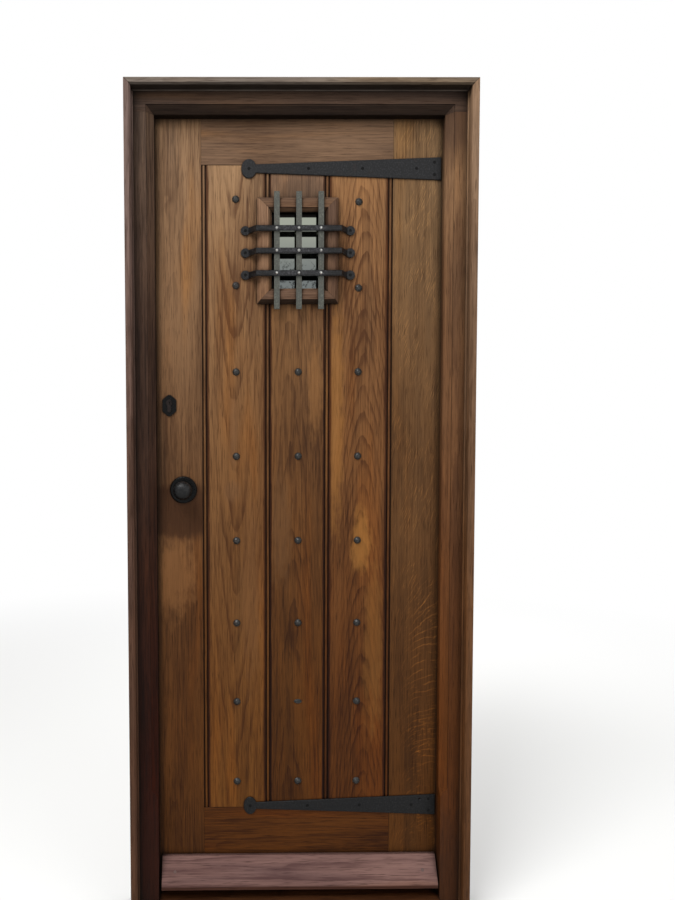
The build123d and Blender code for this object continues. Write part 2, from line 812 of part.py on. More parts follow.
def ledge(z):
    """Ledge behind the boards, tenoned into both stiles."""
    body = block((LOCK_EDGE_X, HINGE_EDGE_X), (BOARD_T, LEAF_T), z)
    return body + block((LOCK_EDGE_X - LEDGE_TENON_L, HINGE_EDGE_X + LEDGE_TENON_L), *ledge_tenon(z))


def bead_cut(x):
    """What a bead plane takes off along one joint: two quirks with a round bead between."""
    cut = Polygon((x - BEAD_HALF, 0), (x + BEAD_HALF, 0), (x + BEAD_HALF, BEAD_D),
                  (x - BEAD_HALF, BEAD_D), align=None)
    radius = BEAD_W / 2
    cut -= Pos(x, radius) * Circle(radius)
    cut -= Polygon((x - radius, radius), (x + radius, radius), (x + radius, BEAD_D),
                   (x - radius, BEAD_D), align=None)
    return extrude(Plane.XY.offset(BOARD_LOW) * cut, amount=BOARD_TOP - BOARD_LOW, dir=(0, 0, 1))


def board(x, tongue_x, low, top):
    """Tongued board between two limits, before its beads, holes and the window are cut."""
    body = block(x, (0, BOARD_T), (low, top))
    tongue_y = span(BOARD_T / 2, TONGUE_T)
    return body + block(tongue_x, tongue_y, (BOARD_LOW - TONGUE_L, BOARD_TOP + TONGUE_L))


def boards():
    """The three boards. The middle one is cut in two by the window."""
    low = BOARD_LOW + END_GAP
    top = BOARD_TOP - END_GAP
    joints = (LOCK_EDGE_X, JOINT_1, JOINT_2, HINGE_EDGE_X)
    groove_y = span(BOARD_T / 2, TONGUE_T + 2 * TONGUE_FREE)
    whole = []
    for count in range(3):
        x = (joints[count], joints[count + 1])
        left = x[0] - TONGUE_L if count == 0 else x[0]
        piece = board(x, (left, x[1] + TONGUE_L), low, top)
        if count > 0:
            deep = x[0] + TONGUE_L + TONGUE_FREE
            piece -= block((x[0], deep), groove_y, (BOARD_LOW - TONGUE_L, BOARD_TOP + TONGUE_L))
        piece -= block(span(WINDOW_X, LINING_W), (0, BOARD_T), span(WINDOW_Z, LINING_H))
        for bead_x in BEADS:
            if x[0] < bead_x < x[1]:
                piece -= bead_cut(bead_x)
        whole.append(piece)
    for spot in stud_spots():
        for count in range(3):
            if joints[count] < spot[0] < joints[count + 1]:
                whole[count] -= nail(*spot[:2])
    return whole


# Window


def window_ring(inner_w, inner_h, width):
    """Mitre spaces of a rectangular surround: top, bottom, lock side and hinge side."""
    iw, ih = inner_w / 2, inner_h / 2
    ow, oh = iw + width, ih + width
    corners = {
        "top": [(-iw, ih), (iw, ih), (ow, oh), (-ow, oh)],
        "bottom": [(-iw, -ih), (iw, -ih), (ow, -oh), (-ow, -oh)],
        "lock_side": [(-iw, -ih), (-iw, ih), (-ow, oh), (-ow, -oh)],
        "hinge_side": [(iw, -ih), (iw, ih), (ow, oh), (ow, -oh)],
    }
    return {
        name: [(WINDOW_X + x, WINDOW_Z + z) for x, z in points] for name, points in corners.items()
    }


def moulding_section():
    """Profile of the planted moulding: X outwards from the sight edge and Y out of the leaf."""
    face = Polygon(
        (0, 0),
        (MOULD_W, 0),
        (MOULD_W, MOULD_PROUD - MOULD_EDGE_D),
        (MOULD_W - MOULD_EDGE_W, MOULD_PROUD),
        (MOULD_BEVEL_W, MOULD_PROUD),
        (MOULD_BEVEL_W, MOULD_PROUD - MOULD_STEP),
        (0, MOULD_PROUD - MOULD_STEP - MOULD_BEVEL_D),
        align=None,
    )
    return face


def moulding(name):
    """One mitred member of the moulding round the glass."""
    directions = {
        "top": ((0, 0, 1), (0, SIGHT_H / 2)),
        "bottom": ((0, 0, -1), (0, -SIGHT_H / 2)),
        "lock_side": ((-1, 0, 0), (-SIGHT_W / 2, 0)),
        "hinge_side": ((1, 0, 0), (SIGHT_W / 2, 0)),
    }
    out, (dx, dz) = directions[name]
    run = Vector(*out).cross(Vector(0, -1, 0))
    base = Plane(origin=(WINDOW_X + dx, 0, WINDOW_Z + dz), x_dir=out, z_dir=run)
    bar = extrude(base * moulding_section(), amount=SIGHT_H + MOULD_W, both=True)
    space = prism_y(window_ring(SIGHT_W, SIGHT_H, MOULD_W)[name], (-MOULD_PROUD, 0))
    return bar & space


def window_lining():
    """Four pieces that line the opening through the leaf."""
    inner_w = SIGHT_W + 2 * (GLASS_LAP + GLASS_GAP)
    inner_h = SIGHT_H + 2 * (GLASS_LAP + GLASS_GAP)
    ring = window_ring(inner_w, inner_h, LINING_T)
    return group(prism_y(points, (0, LEAF_T)) for points in ring.values())


def pane(y):
    """One sheet of glass of the sealed unit."""
    return block(
        span(WINDOW_X, SIGHT_W + 2 * GLASS_LAP), (y, y + PANE_T), span(WINDOW_Z, SIGHT_H + 2 * GLASS_LAP)
    )


def pane_spacer():
    """Spacer bar between the two panes, along their edges."""
    width = SIGHT_W + 2 * GLASS_LAP
    height = SIGHT_H + 2 * GLASS_LAP
    y = (PANE_T, PANE_T + SPACER_T)
    ring = window_ring(width - 2 * SPACER_W, height - 2 * SPACER_W, SPACER_W)
    return group(prism_y(points, y) for points in ring.values())


def glazing_beads():
    """Four sloped beads that hold the glass from the room side."""
    lap = GLASS_LAP + GLASS_GAP
    ring = window_ring(SIGHT_W, SIGHT_H, lap)
    beads = []
    for name, points in ring.items():
        piece = prism_y(points, (UNIT_T, UNIT_T + GLAZING_BEAD_T))
        beads.append(piece - bead_slope(name))
    return group(beads)


def bead_slope(name):
    """Wedge taken off a glazing bead's sight edge on the room side."""
    w, h = SIGHT_W / 2, SIGHT_H / 2
    back = UNIT_T + GLAZING_BEAD_T
    low = back - 2 * GLAZING_BEAD_SLOPE
    long_x = span(WINDOW_X, 2 * SIGHT_W)
    long_z = span(WINDOW_Z, 2 * SIGHT_H)
    if name in ("top", "bottom"):
        sign = 1 if name == "top" else -1
        edge = WINDOW_Z + sign * h
        return prism_x([(low, edge), (back, edge), (back, edge + sign * GLAZING_BEAD_SLOPE)], long_x)
    sign = 1 if name == "hinge_side" else -1
    edge = WINDOW_X + sign * w
    return prism_z([(edge, low), (edge, back), (edge + sign * GLAZING_BEAD_SLOPE, back)], long_z)


# Grille


def grille_bar(z):
    """Flat bar across the window, cranked down at both ends to a round eye on the boards."""
    proud = BAR_PROUD_HALF
    foot = proud + NECK_RUN
    back = [(-foot, 0), (-proud, BAR_BACK_Y), (proud, BAR_BACK_Y), (foot, 0)]
    front = [
        (EYE_HALF, 0),
        (EYE_HALF, -EYE_T),
        (foot + EYE_T / 2, -EYE_T),
        (proud + BAR_T / 2, BAR_FRONT_Y),
        (-proud - BAR_T / 2, BAR_FRONT_Y),
        (-foot - EYE_T / 2, -EYE_T),
        (-EYE_HALF, -EYE_T),
        (-EYE_HALF, 0),
    ]
    points = [(GRILLE_X + x, y) for x, y in back + front]
    bar = prism_z(points, span(z, BAR_W))
    front_edges = bar.edges().filter_by(Axis.X).group_by(Axis.Y)[0]
    bar = chamfer(front_edges, BAR_BEVEL)
    for x in eye_xs():
        bar += rod_y(EYE_R, x, z, (-EYE_T, 0))
        bar -= outward(x, z, -EYE_T) * screw(EYE_T, free=SCREW_FREE)
    for x in upright_xs():
        bar -= block(span(x, RIVET_SHANK), (BAR_FRONT_Y, BAR_BACK_Y), span(z, RIVET_SHANK))
    return bar


def eye_xs():
    """Places of a bar's two eyes."""
    return (GRILLE_X - EYE_HALF, GRILLE_X + EYE_HALF)


def upright_xs():
    """Places of the three uprights."""
    return (GRILLE_X - GRID, GRILLE_X, GRILLE_X + GRID)


def bar_zs():
    """Heights of the three cross bars."""
    return (GRILLE_Z + GRID, GRILLE_Z, GRILLE_Z - GRID)


def uprights():
    """Three flat uprights between the cross bars and the moulding."""
    bars = []
    for x in upright_xs():
        width = span(x + UPRIGHT_SHIFT, UPRIGHT_W)
        bar = block(width, (BAR_BACK_Y, -MOULD_PROUD), span(UPRIGHT_Z, UPRIGHT_L))
        for z in bar_zs():
            bar -= block(span(x, RIVET_SHANK), (BAR_BACK_Y, -MOULD_PROUD), span(z, RIVET_SHANK))
        bars.append(bar)
    return group(bars)


def rivet(x, z):
    """Hammered rivet through a cross bar and an upright."""
    front = outward(x, z, BAR_FRONT_Y) * extrude(RegularPolygon(RIVET_R, 8), RIVET_H, taper=35)
    back = inward(x, z, -MOULD_PROUD) * extrude(RegularPolygon(RIVET_R, 8), RIVET_BACK, taper=35)
    shank = block(span(x, RIVET_SHANK), (BAR_FRONT_Y, -MOULD_PROUD), span(z, RIVET_SHANK))
    return front + shank + back


def rivets():
    """The nine rivets of the grille."""
    return group(rivet(x, z) for x in upright_xs() for z in bar_zs())


# Straps, studs and weatherboard


def strap_screw_spots(z):
    """Places of a strap's screws: penny, middle row and the pair at the wide end."""
    first = STRAP_END_X - STRAP_SCREW_IN
    spots = [(PENNY_X, z)] + [(first - count * STRAP_SCREW_PITCH, z) for count in range(3)]
    pair_x = STRAP_END_X - STRAP_PAIR_IN
    return spots + [(pair_x, z + STRAP_PAIR_HALF), (pair_x, z - STRAP_PAIR_HALF)]


def strap(z, end_h, neck_h, penny_w, penny_h, spare=False):
    """Tapered strap with a penny end, lying on the leaf."""
    taper = Polygon(
        (0, -end_h / 2), (0, end_h / 2), (-STRAP_L, neck_h / 2), (-STRAP_L, -neck_h / 2), align=None
    )
    outline = taper + Pos(-STRAP_L, 0) * Ellipse(penny_w / 2, penny_h / 2)
    low = extrude(outline, amount=STRAP_T - STRAP_BEVEL)
    rim = Pos(0, 0, STRAP_T - STRAP_BEVEL) * extrude(outline, STRAP_BEVEL, taper=45)
    plate = outward(STRAP_END_X, z) * (low + rim)
    for x, screw_z in strap_screw_spots(z):
        plate -= outward(x, screw_z, -STRAP_T) * screw(STRAP_T, free=SCREW_FREE)
    if spare:
        x = STRAP_END_X - SPARE_HOLE_IN
        plate -= outward(x, z + STRAP_PAIR_HALF, -STRAP_T) * screw(STRAP_T, free=SCREW_FREE)
    return plate


def black_screws():
    """Blackened screws of the straps, the grille and the escutcheons."""
    solids = [
        outward(x, z, -STRAP_T) * screw(STRAP_T)
        for strap_z in (TOP_STRAP_Z, LOW_STRAP_Z)
        for x, z in strap_screw_spots(strap_z)
    ]
    solids += [outward(x, z, -EYE_T) * screw(EYE_T) for x in eye_xs() for z in bar_zs()]
    for z in escutcheon_screw_zs():
        solids.append(outward(LOCK_X, z, -ESCUTCHEON_T) * small_screw(ESCUTCHEON_T))
        solids.append(inward(LOCK_X, z, LEAF_T + ESCUTCHEON_T) * small_screw(ESCUTCHEON_T))
    return group(solids)


def stud_spots():
    """Place of each stud and whether it is the flattened one."""
    window_low = WINDOW_Z - LINING_H / 2 - MOULD_W
    spots = []
    for column, x in enumerate(STUD_XS):
        for row, z in enumerate(STUD_ROWS):
            beside_window = z > window_low
            if column == 1 and beside_window:
                continue
            drop = STUD_DROP if column == 2 and beside_window else 0
            spots.append((x, z - drop, column == 1 and row == FLAT_STUD_ROW))
    return spots


def nail(x, z):
    """Square shank of a stud in its board."""
    return block(span(x, NAIL_W), (0, NAIL_L), span(z, NAIL_W))


def stud(x, z, flat, turn):
    """Forged stud with its nail: an eight-sided dome, or the one beaten flat."""
    if flat:
        head = extrude(Ellipse(FLAT_STUD_W / 2, FLAT_STUD_H / 2), FLAT_STUD_T, taper=FLAT_STUD_TAPER)
    else:
        rim = extrude(RegularPolygon(STUD_R, 8), STUD_RIM_H, taper=STUD_RIM_TAPER)
        crown = extrude(rim.faces().sort_by(Axis.Z)[-1], STUD_CROWN_H, taper=STUD_CROWN_TAPER)
        head = Rot(0, 0, turn) * (rim + crown)
    return outward(x, z) * head + nail(x, z)


def studs():
    """All studs, each turned a little differently."""
    return group(stud(*spot, STUD_TURN * count) for count, spot in enumerate(stud_spots()))


def weatherboard_spots():
    """Places of the weatherboard's two screws on its slope."""
    run = WEATHER_PROUD - WEATHER_TOP_T
    rise = WEATHER_H - WEATHER_NOSE_H
    up = WEATHER_SCREW_UP - WEATHER_NOSE_H
    y = -WEATHER_PROUD + run * up / rise
    slope = (0, -rise, run)
    return [
        Plane(origin=(x, y, WEATHER_Z + WEATHER_SCREW_UP), x_dir=(1, 0, 0), z_dir=slope)
        for x in (-WEATHER_SCREW_X, WEATHER_SCREW_X)
    ]


def weatherboard():
    """Sloped board across the foot of the leaf, with a drip groove under its nose."""
    profile = [
        (0, WEATHER_Z),
        (0, WEATHER_Z + WEATHER_H),
        (-WEATHER_TOP_T, WEATHER_Z + WEATHER_H),
        (-WEATHER_PROUD, WEATHER_Z + WEATHER_NOSE_H),
        (-WEATHER_PROUD, WEATHER_Z),
    ]
    x = (-STOP_X + WEATHER_LOCK_GAP, STOP_X - WEATHER_HINGE_GAP)
    body = prism_x(profile, x)
    body -= block(x, span(2 * DRIP_W - WEATHER_PROUD, DRIP_W), (WEATHER_Z, WEATHER_Z + DRIP_D))
    for spot in weatherboard_spots():
        body -= spot * screw(WEATHER_TOP_T, free=SCREW_FREE)
    return body


# Knob set and latch


def rose():
    """Round rose, its back at Z 0 and its face at +Z."""
    disc = Cylinder(ROSE_R, ROSE_T, align=LOW)
    disc = chamfer(disc.faces().sort_by(Axis.Z)[-1].edges(), ROSE_BEVEL)
    return disc - Cylinder(NECK_R + NECK_FREE, 3 * ROSE_T)


def knob():
    """Turned knob with its neck, its foot at Z 0, and the socket for the spindle."""
    line = Polyline((0, NECK_FOOT), (NECK_R, NECK_FOOT), (NECK_R, NECK_L))
    under = TangentArc((KNOB_R, KNOB_WAIST), (NECK_R, NECK_L), tangent=(0, -1))
    crown = TangentArc((KNOB_R, KNOB_WAIST), (KNOB_FLAT_R, KNOB_PROUD), tangent=(0, 1))
    axis = Polyline((KNOB_FLAT_R, KNOB_PROUD), (0, KNOB_PROUD), (0, NECK_FOOT))
    face = make_face(line + under + crown + axis)
    body = revolve(Plane.XZ * face, Axis.Z)
    return body - Box(SPINDLE_W, SPINDLE_W, 2 * SPINDLE_GRIP)


def spindle():
    """Square spindle from knob to knob."""
    return block(
        span(KNOB_X, SPINDLE_W), (-SPINDLE_GRIP, LEAF_T + SPINDLE_GRIP), span(KNOB_Z, SPINDLE_W)
    )


def latch_hub():
    """Hub on the spindle that turns in the latch case."""
    hub = rod_y(SPINDLE_HOLE_R - HUB_FREE, KNOB_X, KNOB_Z, span(MID_Y, HUB_W))
    return hub - spindle()


def latch_case():
    """Tubular latch body and faceplate, with the bolt's channel and the spindle's hole."""
    tube = rod_x(LATCH_R, MID_Y, KNOB_Z, (-LEAF_X + FACEPLATE_T, -LEAF_X + LATCH_L))
    tube += latch_plate_space()
    channel_l = LATCH_BOLT_L + LATCH_TAIL_L + BOLT_FREE
    tube -= block(
        (-LEAF_X, -LEAF_X + channel_l),
        span(MID_Y, LATCH_BOLT_W + 2 * BOLT_FREE),
        span(KNOB_Z, LATCH_BOLT_H + 2 * BOLT_FREE),
    )
    return tube - rod_y(SPINDLE_HOLE_R, KNOB_X, KNOB_Z, (0, LEAF_T))


def latch_bolt():
    """Bevelled latch bolt with its tail, drawn back flush with the faceplate."""
    y0, y1 = span(MID_Y, LATCH_BOLT_W)
    points = [
        (-LEAF_X + LATCH_BOLT_L, y0),
        (-LEAF_X + LATCH_BOLT_L, y1),
        (-LEAF_X, y1),
        (-LEAF_X, y1 - LATCH_TIP),
        (-LEAF_X + LATCH_BEVEL_L, y0),
    ]
    bolt = prism_z(points, span(KNOB_Z, LATCH_BOLT_H))
    tail_x = (-LEAF_X + LATCH_BOLT_L, -LEAF_X + LATCH_BOLT_L + LATCH_TAIL_L)
    return bolt + block(tail_x, span(MID_Y, LATCH_TAIL_W), span(KNOB_Z, LATCH_TAIL_W))


# Cylinder deadlock


def deadbolt():
    """Square deadbolt, drawn back flush with its faceplate."""
    return block(
        (-LEAF_X, -LEAF_X + DEADBOLT_L), span(MID_Y, DEADBOLT_W), span(DEADBOLT_Z, DEADBOLT_H)
    )


def deadlock_case():
    """Mortice case and faceplate, open for the bolt, the cylinder and its cam."""
    case = case_space() + lock_plate_space()
    case -= block(
        (-LEAF_X, -LEAF_X + DEADBOLT_L + BOLT_FREE),
        span(MID_Y, DEADBOLT_W + 2 * BOLT_FREE),
        span(DEADBOLT_Z, DEADBOLT_H + 2 * BOLT_FREE),
    )
    case -= rod_y(CAM_R + CAM_FREE, LOCK_X, PLUG_Z, span(MID_Y, CAM_W + 2 * CAM_FREE))
    return case - cylinder_space(CYLINDER_FREE, 1.0)


def lock_cylinder():
    """Profile cylinder through the leaf, bored for its plug and slotted for the cam."""
    body = cylinder_space(0.0, CYLINDER_PROUD)
    y = (-CYLINDER_PROUD, LEAF_T + CYLINDER_PROUD)
    body -= rod_y(PLUG_R + PLUG_FREE, LOCK_X, PLUG_Z, y)
    slot = rod_y(CAM_R + CAM_FREE, LOCK_X, PLUG_Z, span(MID_Y, CAM_W + 2 * CAM_FREE))
    return body - slot


def cylinder_plug():
    """Plug with its keyway outside, the cam in the middle and the thumb turn inside."""
    y = (-CYLINDER_PROUD, LEAF_T + CYLINDER_PROUD + CAM_FREE)
    plug = rod_y(PLUG_R, LOCK_X, PLUG_Z, y)
    plug -= block(
        span(LOCK_X, KEYWAY_W), (-CYLINDER_PROUD, -CYLINDER_PROUD + KEYWAY_D), span(PLUG_Z, KEYWAY_H)
    )
    cam = rod_y(CAM_R, LOCK_X, PLUG_Z, span(MID_Y, CAM_W))
    lobe = block(span(LOCK_X, PLUG_R), span(MID_Y, CAM_W), (PLUG_Z - CAM_R, PLUG_Z))
    turn = block(span(LOCK_X, TURN_T), (y[1], y[1] + TURN_L), span(PLUG_Z, TURN_W))
    turn = fillet(turn.edges().filter_by(Axis.X).group_by(Axis.Y)[-1], TURN_T)
    return plug + (cam & lobe) + turn


def escutcheon_screw_zs():
    """Heights of an escutcheon's two screws."""
    return (ESCUTCHEON_Z - ESCUTCHEON_SCREW, ESCUTCHEON_Z + ESCUTCHEON_SCREW)


def escutcheon(plane_at):
    """Long eight-sided plate round the cylinder, on the side that the workplane faces."""
    w, h = ESCUTCHEON_W / 2, ESCUTCHEON_H / 2
    cw, ch = w - ESCUTCHEON_CORNER_W, h - ESCUTCHEON_CORNER_H
    corners = [(-cw, h), (cw, h), (w, ch), (w, -ch), (cw, -h), (-cw, -h), (-w, -ch), (-w, ch)]
    face = Polygon(*corners, align=None)
    plate = plane_at(LOCK_X, ESCUTCHEON_Z) * extrude(face, amount=ESCUTCHEON_T, dir=(0, 0, 1))
    for z in escutcheon_screw_zs():
        at = plane_at(LOCK_X, z)
        plate -= at.offset(ESCUTCHEON_T) * small_screw(ESCUTCHEON_T, SCREW_FREE)
    return plate - cylinder_space(CYLINDER_FREE, CYLINDER_PROUD)


def nodes():
    """Every sub-part by its node name."""
    bottom_rail, top_rail = rails()
    lock_board, middle_board, hinge_board = boards()
    upper, lower = middle_board.solids().sort_by(Axis.Z)[::-1]
    parts = {
        "frame_head": frame_head(),
        "lock_jamb": lock_jamb(),
        "hinge_jamb": hinge_jamb(),
        "sill": sill(),
        "trim_head": head_trim(),
        "trim_lock_side": side_trim(-1),
        "trim_hinge_side": side_trim(1),
        "weather_seals": weather_seals(),
        "latch_strike": strike(0),
        "deadbolt_strike": strike(1),
        "steel_screws_frame": group(strike_screws() + hinge_screws(1)),
        "hinge_frame_halves": group(hinge_half(1, z) for z in HINGE_ZS),
        "hinge_pins": group(hinge_pin(z) for z in HINGE_ZS),
        "lock_stile": lock_stile(),
        "hinge_stile": hinge_stile(),
        "top_rail": top_rail,
        "bottom_rail": bottom_rail,
        "board_lock_side": lock_board,
        "board_middle_upper": upper,
        "board_middle_lower": lower,
        "board_hinge_side": hinge_board,
        "window_lining": window_lining(),
        "outer_pane": pane(0.0),
        "inner_pane": pane(PANE_T + SPACER_T),
        "pane_spacer": pane_spacer(),
        "glazing_beads": glazing_beads(),
        "grille_uprights": uprights(),
        "grille_rivets": rivets(),
        "black_screws": black_screws(),
        "strap_top": strap(
            TOP_STRAP_Z, TOP_STRAP_END, TOP_STRAP_NECK, TOP_PENNY_W, TOP_PENNY_H
        ),
        "strap_bottom": strap(
            LOW_STRAP_Z, LOW_STRAP_END, LOW_STRAP_NECK, LOW_PENNY_W, LOW_PENNY_H, spare=True
        ),
        "studs": studs(),
        "weatherboard": weatherboard(),
        "steel_screws_leaf": group(
            hinge_screws(-1) + [at * screw(WEATHER_TOP_T) for at in weatherboard_spots()]
        ),
        "hinge_leaf_halves": group(hinge_half(-1, z) for z in HINGE_ZS),
        "outer_rose": outward(KNOB_X, KNOB_Z) * rose(),
        "inner_rose": inward(KNOB_X, KNOB_Z) * rose(),
        "outer_escutcheon": escutcheon(outward),
        "inner_escutcheon": escutcheon(inward),
        "lock_cylinder": lock_cylinder(),
        "latch_case": latch_case(),
        "deadlock_case": deadlock_case(),
        "outer_knob": outward(KNOB_X, KNOB_Z) * knob(),
        "inner_knob": inward(KNOB_X, KNOB_Z) * knob(),
        "knob_spindle": spindle(),
        "latch_hub": latch_hub(),
        "latch_bolt": latch_bolt(),
        "cylinder_plug": cylinder_plug(),
        "deadbolt": deadbolt(),
    }
    for name, z in ledge_zs().items():
        parts[name] = ledge(z)
    for name in ("top", "bottom", "lock_side", "hinge_side"):
        parts["window_moulding_" + name] = moulding(name)
    for name, z in zip(("top", "middle", "bottom"), bar_zs()):
        parts["grille_bar_" + name] = grille_bar(z)
    return parts


os.makedirs("parts", exist_ok=True)
for node_name, shape in nodes().items():
    export_step(shape, f"parts/{node_name}.step")
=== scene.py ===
import json
import logging
import math
from dataclasses import dataclass
from enum import Enum
from typing import ClassVar

import bpy
from mathutils import Matrix, Vector

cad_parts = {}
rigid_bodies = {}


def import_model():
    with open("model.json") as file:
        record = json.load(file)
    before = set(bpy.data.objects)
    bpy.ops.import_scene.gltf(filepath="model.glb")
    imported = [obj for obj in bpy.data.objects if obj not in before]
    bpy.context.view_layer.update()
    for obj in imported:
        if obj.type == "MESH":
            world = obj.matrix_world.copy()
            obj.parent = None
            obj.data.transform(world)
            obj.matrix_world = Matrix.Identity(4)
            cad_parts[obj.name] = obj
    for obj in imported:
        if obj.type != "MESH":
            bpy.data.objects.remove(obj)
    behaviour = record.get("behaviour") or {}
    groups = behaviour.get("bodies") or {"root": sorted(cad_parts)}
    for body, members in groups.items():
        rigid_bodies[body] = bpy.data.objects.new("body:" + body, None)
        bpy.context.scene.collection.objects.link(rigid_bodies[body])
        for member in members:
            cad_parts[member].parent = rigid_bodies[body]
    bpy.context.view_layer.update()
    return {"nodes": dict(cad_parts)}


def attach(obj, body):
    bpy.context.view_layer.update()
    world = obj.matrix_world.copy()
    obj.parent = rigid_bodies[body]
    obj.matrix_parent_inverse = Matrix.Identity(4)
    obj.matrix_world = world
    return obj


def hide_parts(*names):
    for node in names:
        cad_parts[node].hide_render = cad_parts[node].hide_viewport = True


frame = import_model()

LOG = logging.getLogger("oak_door")
MM = 0.001

Colour = tuple[float, float, float]
Point = tuple[float, float, float]
Span = tuple[float, float]
Material = bpy.types.Material
Node = bpy.types.Node
Piece = bpy.types.Object
Socket = bpy.types.NodeSocket
Tree = bpy.types.NodeTree

UNTINTED: Colour = (255, 255, 255)


def linear(colour: Colour) -> tuple[float, float, float, float]:
    """Turns a display colour of 0 to 255 into the linear colour that a shader takes.

    Args:
        colour: Red, green and blue as they should show.

    Returns:
        The linear colour with an alpha of 1.
    """
    values = []
    for channel in colour:
        share = channel / 255
        values.append(share / 12.92 if share <= 0.04045 else ((share + 0.055) / 1.055) ** 2.4)
    return (*values, 1.0)


class Grain(Enum):
    """The way that the fibres of a member run, as a turn that brings them to local Z."""

    UPRIGHT = (0.0, 0.0, 0.0)
    ACROSS = (0.0, math.pi / 2, 0.0)


class Body(Enum):
    """The moving bodies that the worked pieces ride on."""

    FRAME = "frame"
    LEAF = "leaf"


class Graph:
    """A node tree with short calls for the nodes that the finishes use."""

    COLUMNS = 9
    NODE_STEP = (180, -220)

    def __init__(self, tree: Tree) -> None:
        """Keeps a material's tree or a group's."""
        self.tree = tree
        self.count = 0

    def add(self, kind: str, **settings: object) -> Node:
        """Adds a node.

        Args:
            kind: Its type name, without the ShaderNode prefix.
            **settings: Attributes to set on it.

        Returns:
            The new node.
        """
        node = self.tree.nodes.new("ShaderNode" + kind)
        row, column = divmod(self.count, self.COLUMNS)
        node.location = (self.NODE_STEP[0] * column, self.NODE_STEP[1] * row)
        self.count += 1
        for name, value in settings.items():
            setattr(node, name, value)
        return node

    def feed(self, socket: Socket, value: object) -> None:
        """Links a socket to another, or sets its own value.

        Args:
            socket: The input.
            value: An output socket, a number or a colour.
        """
        if isinstance(value, Socket):
            self.tree.links.new(value, socket)
        else:
            socket.default_value = value

    def math(self, operation: str, *values: object, clamp: bool = False) -> Socket:
        """Adds a Math node.

        Args:
            operation: What it does.
            *values: Its inputs in order.
            clamp: Whether the result is kept between 0 and 1.

        Returns:
            The result.
        """
        node = self.add("Math", operation=operation, use_clamp=clamp)
        for socket, value in zip(node.inputs, values):
            self.feed(socket, value)
        return node.outputs[0]

    def vector(self, operation: str, *values: object) -> Socket:
        """Adds a Vector Math node.

        Args:
            operation: What it does.
            *values: Its inputs in order.

        Returns:
            The result, which is a number for LENGTH.
        """
        node = self.add("VectorMath", operation=operation)
        for socket, value in zip(node.inputs, values):
            self.feed(socket, value)
        return node.outputs["Value" if operation == "LENGTH" else "Vector"]

    def split(self, vector: Socket) -> dict[str, Socket]:
        """Splits a vector.

        Args:
            vector: The socket to split.

        Returns:
            Its shares by their letters, X, Y and Z.
        """
        node = self.add("SeparateXYZ")
        self.feed(node.inputs[0], vector)
        return {letter: node.outputs[letter] for letter in "XYZ"}

    def remap(
        self, value: object, low: object, high: object, to_low: object = 0.0,
        to_high: object = 1.0, kind: str = "SMOOTHSTEP",
    ) -> Socket:
        """Maps a range onto another.

        Args:
            value: The socket to map.
            low: Its value that gives to_low.
            high: Its value that gives to_high.
            to_low: The result at and before low.
            to_high: The result at and after high.
            kind: The way between the two.

        Returns:
            The mapped socket.
        """
        node = self.add("MapRange", interpolation_type=kind)
        names = ("Value", "From Min", "From Max", "To Min", "To Max")
        for name, given in zip(names, (value, low, high, to_low, to_high)):
            self.feed(node.inputs[name], given)
        return node.outputs["Result"]

    def mix(self, factor: object, first: object, second: object, blend: str = "MIX") -> Socket:
        """Mixes two colours.

        Args:
            factor: How much of the second shows.
            first: The colour underneath.
            second: The colour on top.
            blend: The way of mixing.

        Returns:
            The mixed colour.
        """
        node = self.add("Mix", data_type="RGBA", blend_type=blend)
        for name, given in zip(("Factor", "A", "B"), (factor, first, second)):
            self.feed(node.inputs[name], given)
        return node.outputs["Result"]

    def noise(
        self, vector: Socket, scale: Point | None, seed: object, detail: float = 2.0,
        rough: float = 0.5, twist: float = 0.0,
    ) -> Socket:
        """Adds a seeded noise.

        Args:
            vector: Where to read it.
            scale: How many waves it has to a metre along each axis, or None for 1 everywhere.
            seed: A number or socket that picks one of many patterns.
            detail: How many finer layers it has.
            rough: How strong the finer layers are.
            twist: How much it is distorted.

        Returns:
            The noise, about 0.5.
        """
        node = self.add("TexNoise", noise_dimensions="4D")
        names = ("Vector", "W", "Scale", "Detail", "Roughness", "Distortion")
        place = self.vector("MULTIPLY", vector, scale) if scale else vector
        for name, given in zip(names, (place, seed, 1.0, detail, rough, twist)):
            self.feed(node.inputs[name], given)
        return node.outputs["Fac"]

    def swing(self, *given: object) -> Socket:
        """Adds a noise that swings about 0, from what noise() takes."""
        return self.math("SUBTRACT", self.noise(*given), 0.5)

    def group(self, tree: Tree, **values: object) -> bpy.types.NodeOutputs:
        """Places a node group and feeds its inputs by name.

        Args:
            tree: The group.
            **values: Inputs, by their lower case names.

        Returns:
            The outputs of the group's node.
        """
        node = self.add("Group")
        node.node_tree = tree
        for name, value in values.items():
            self.feed(node.inputs[name.title()], value)
        return node.outputs


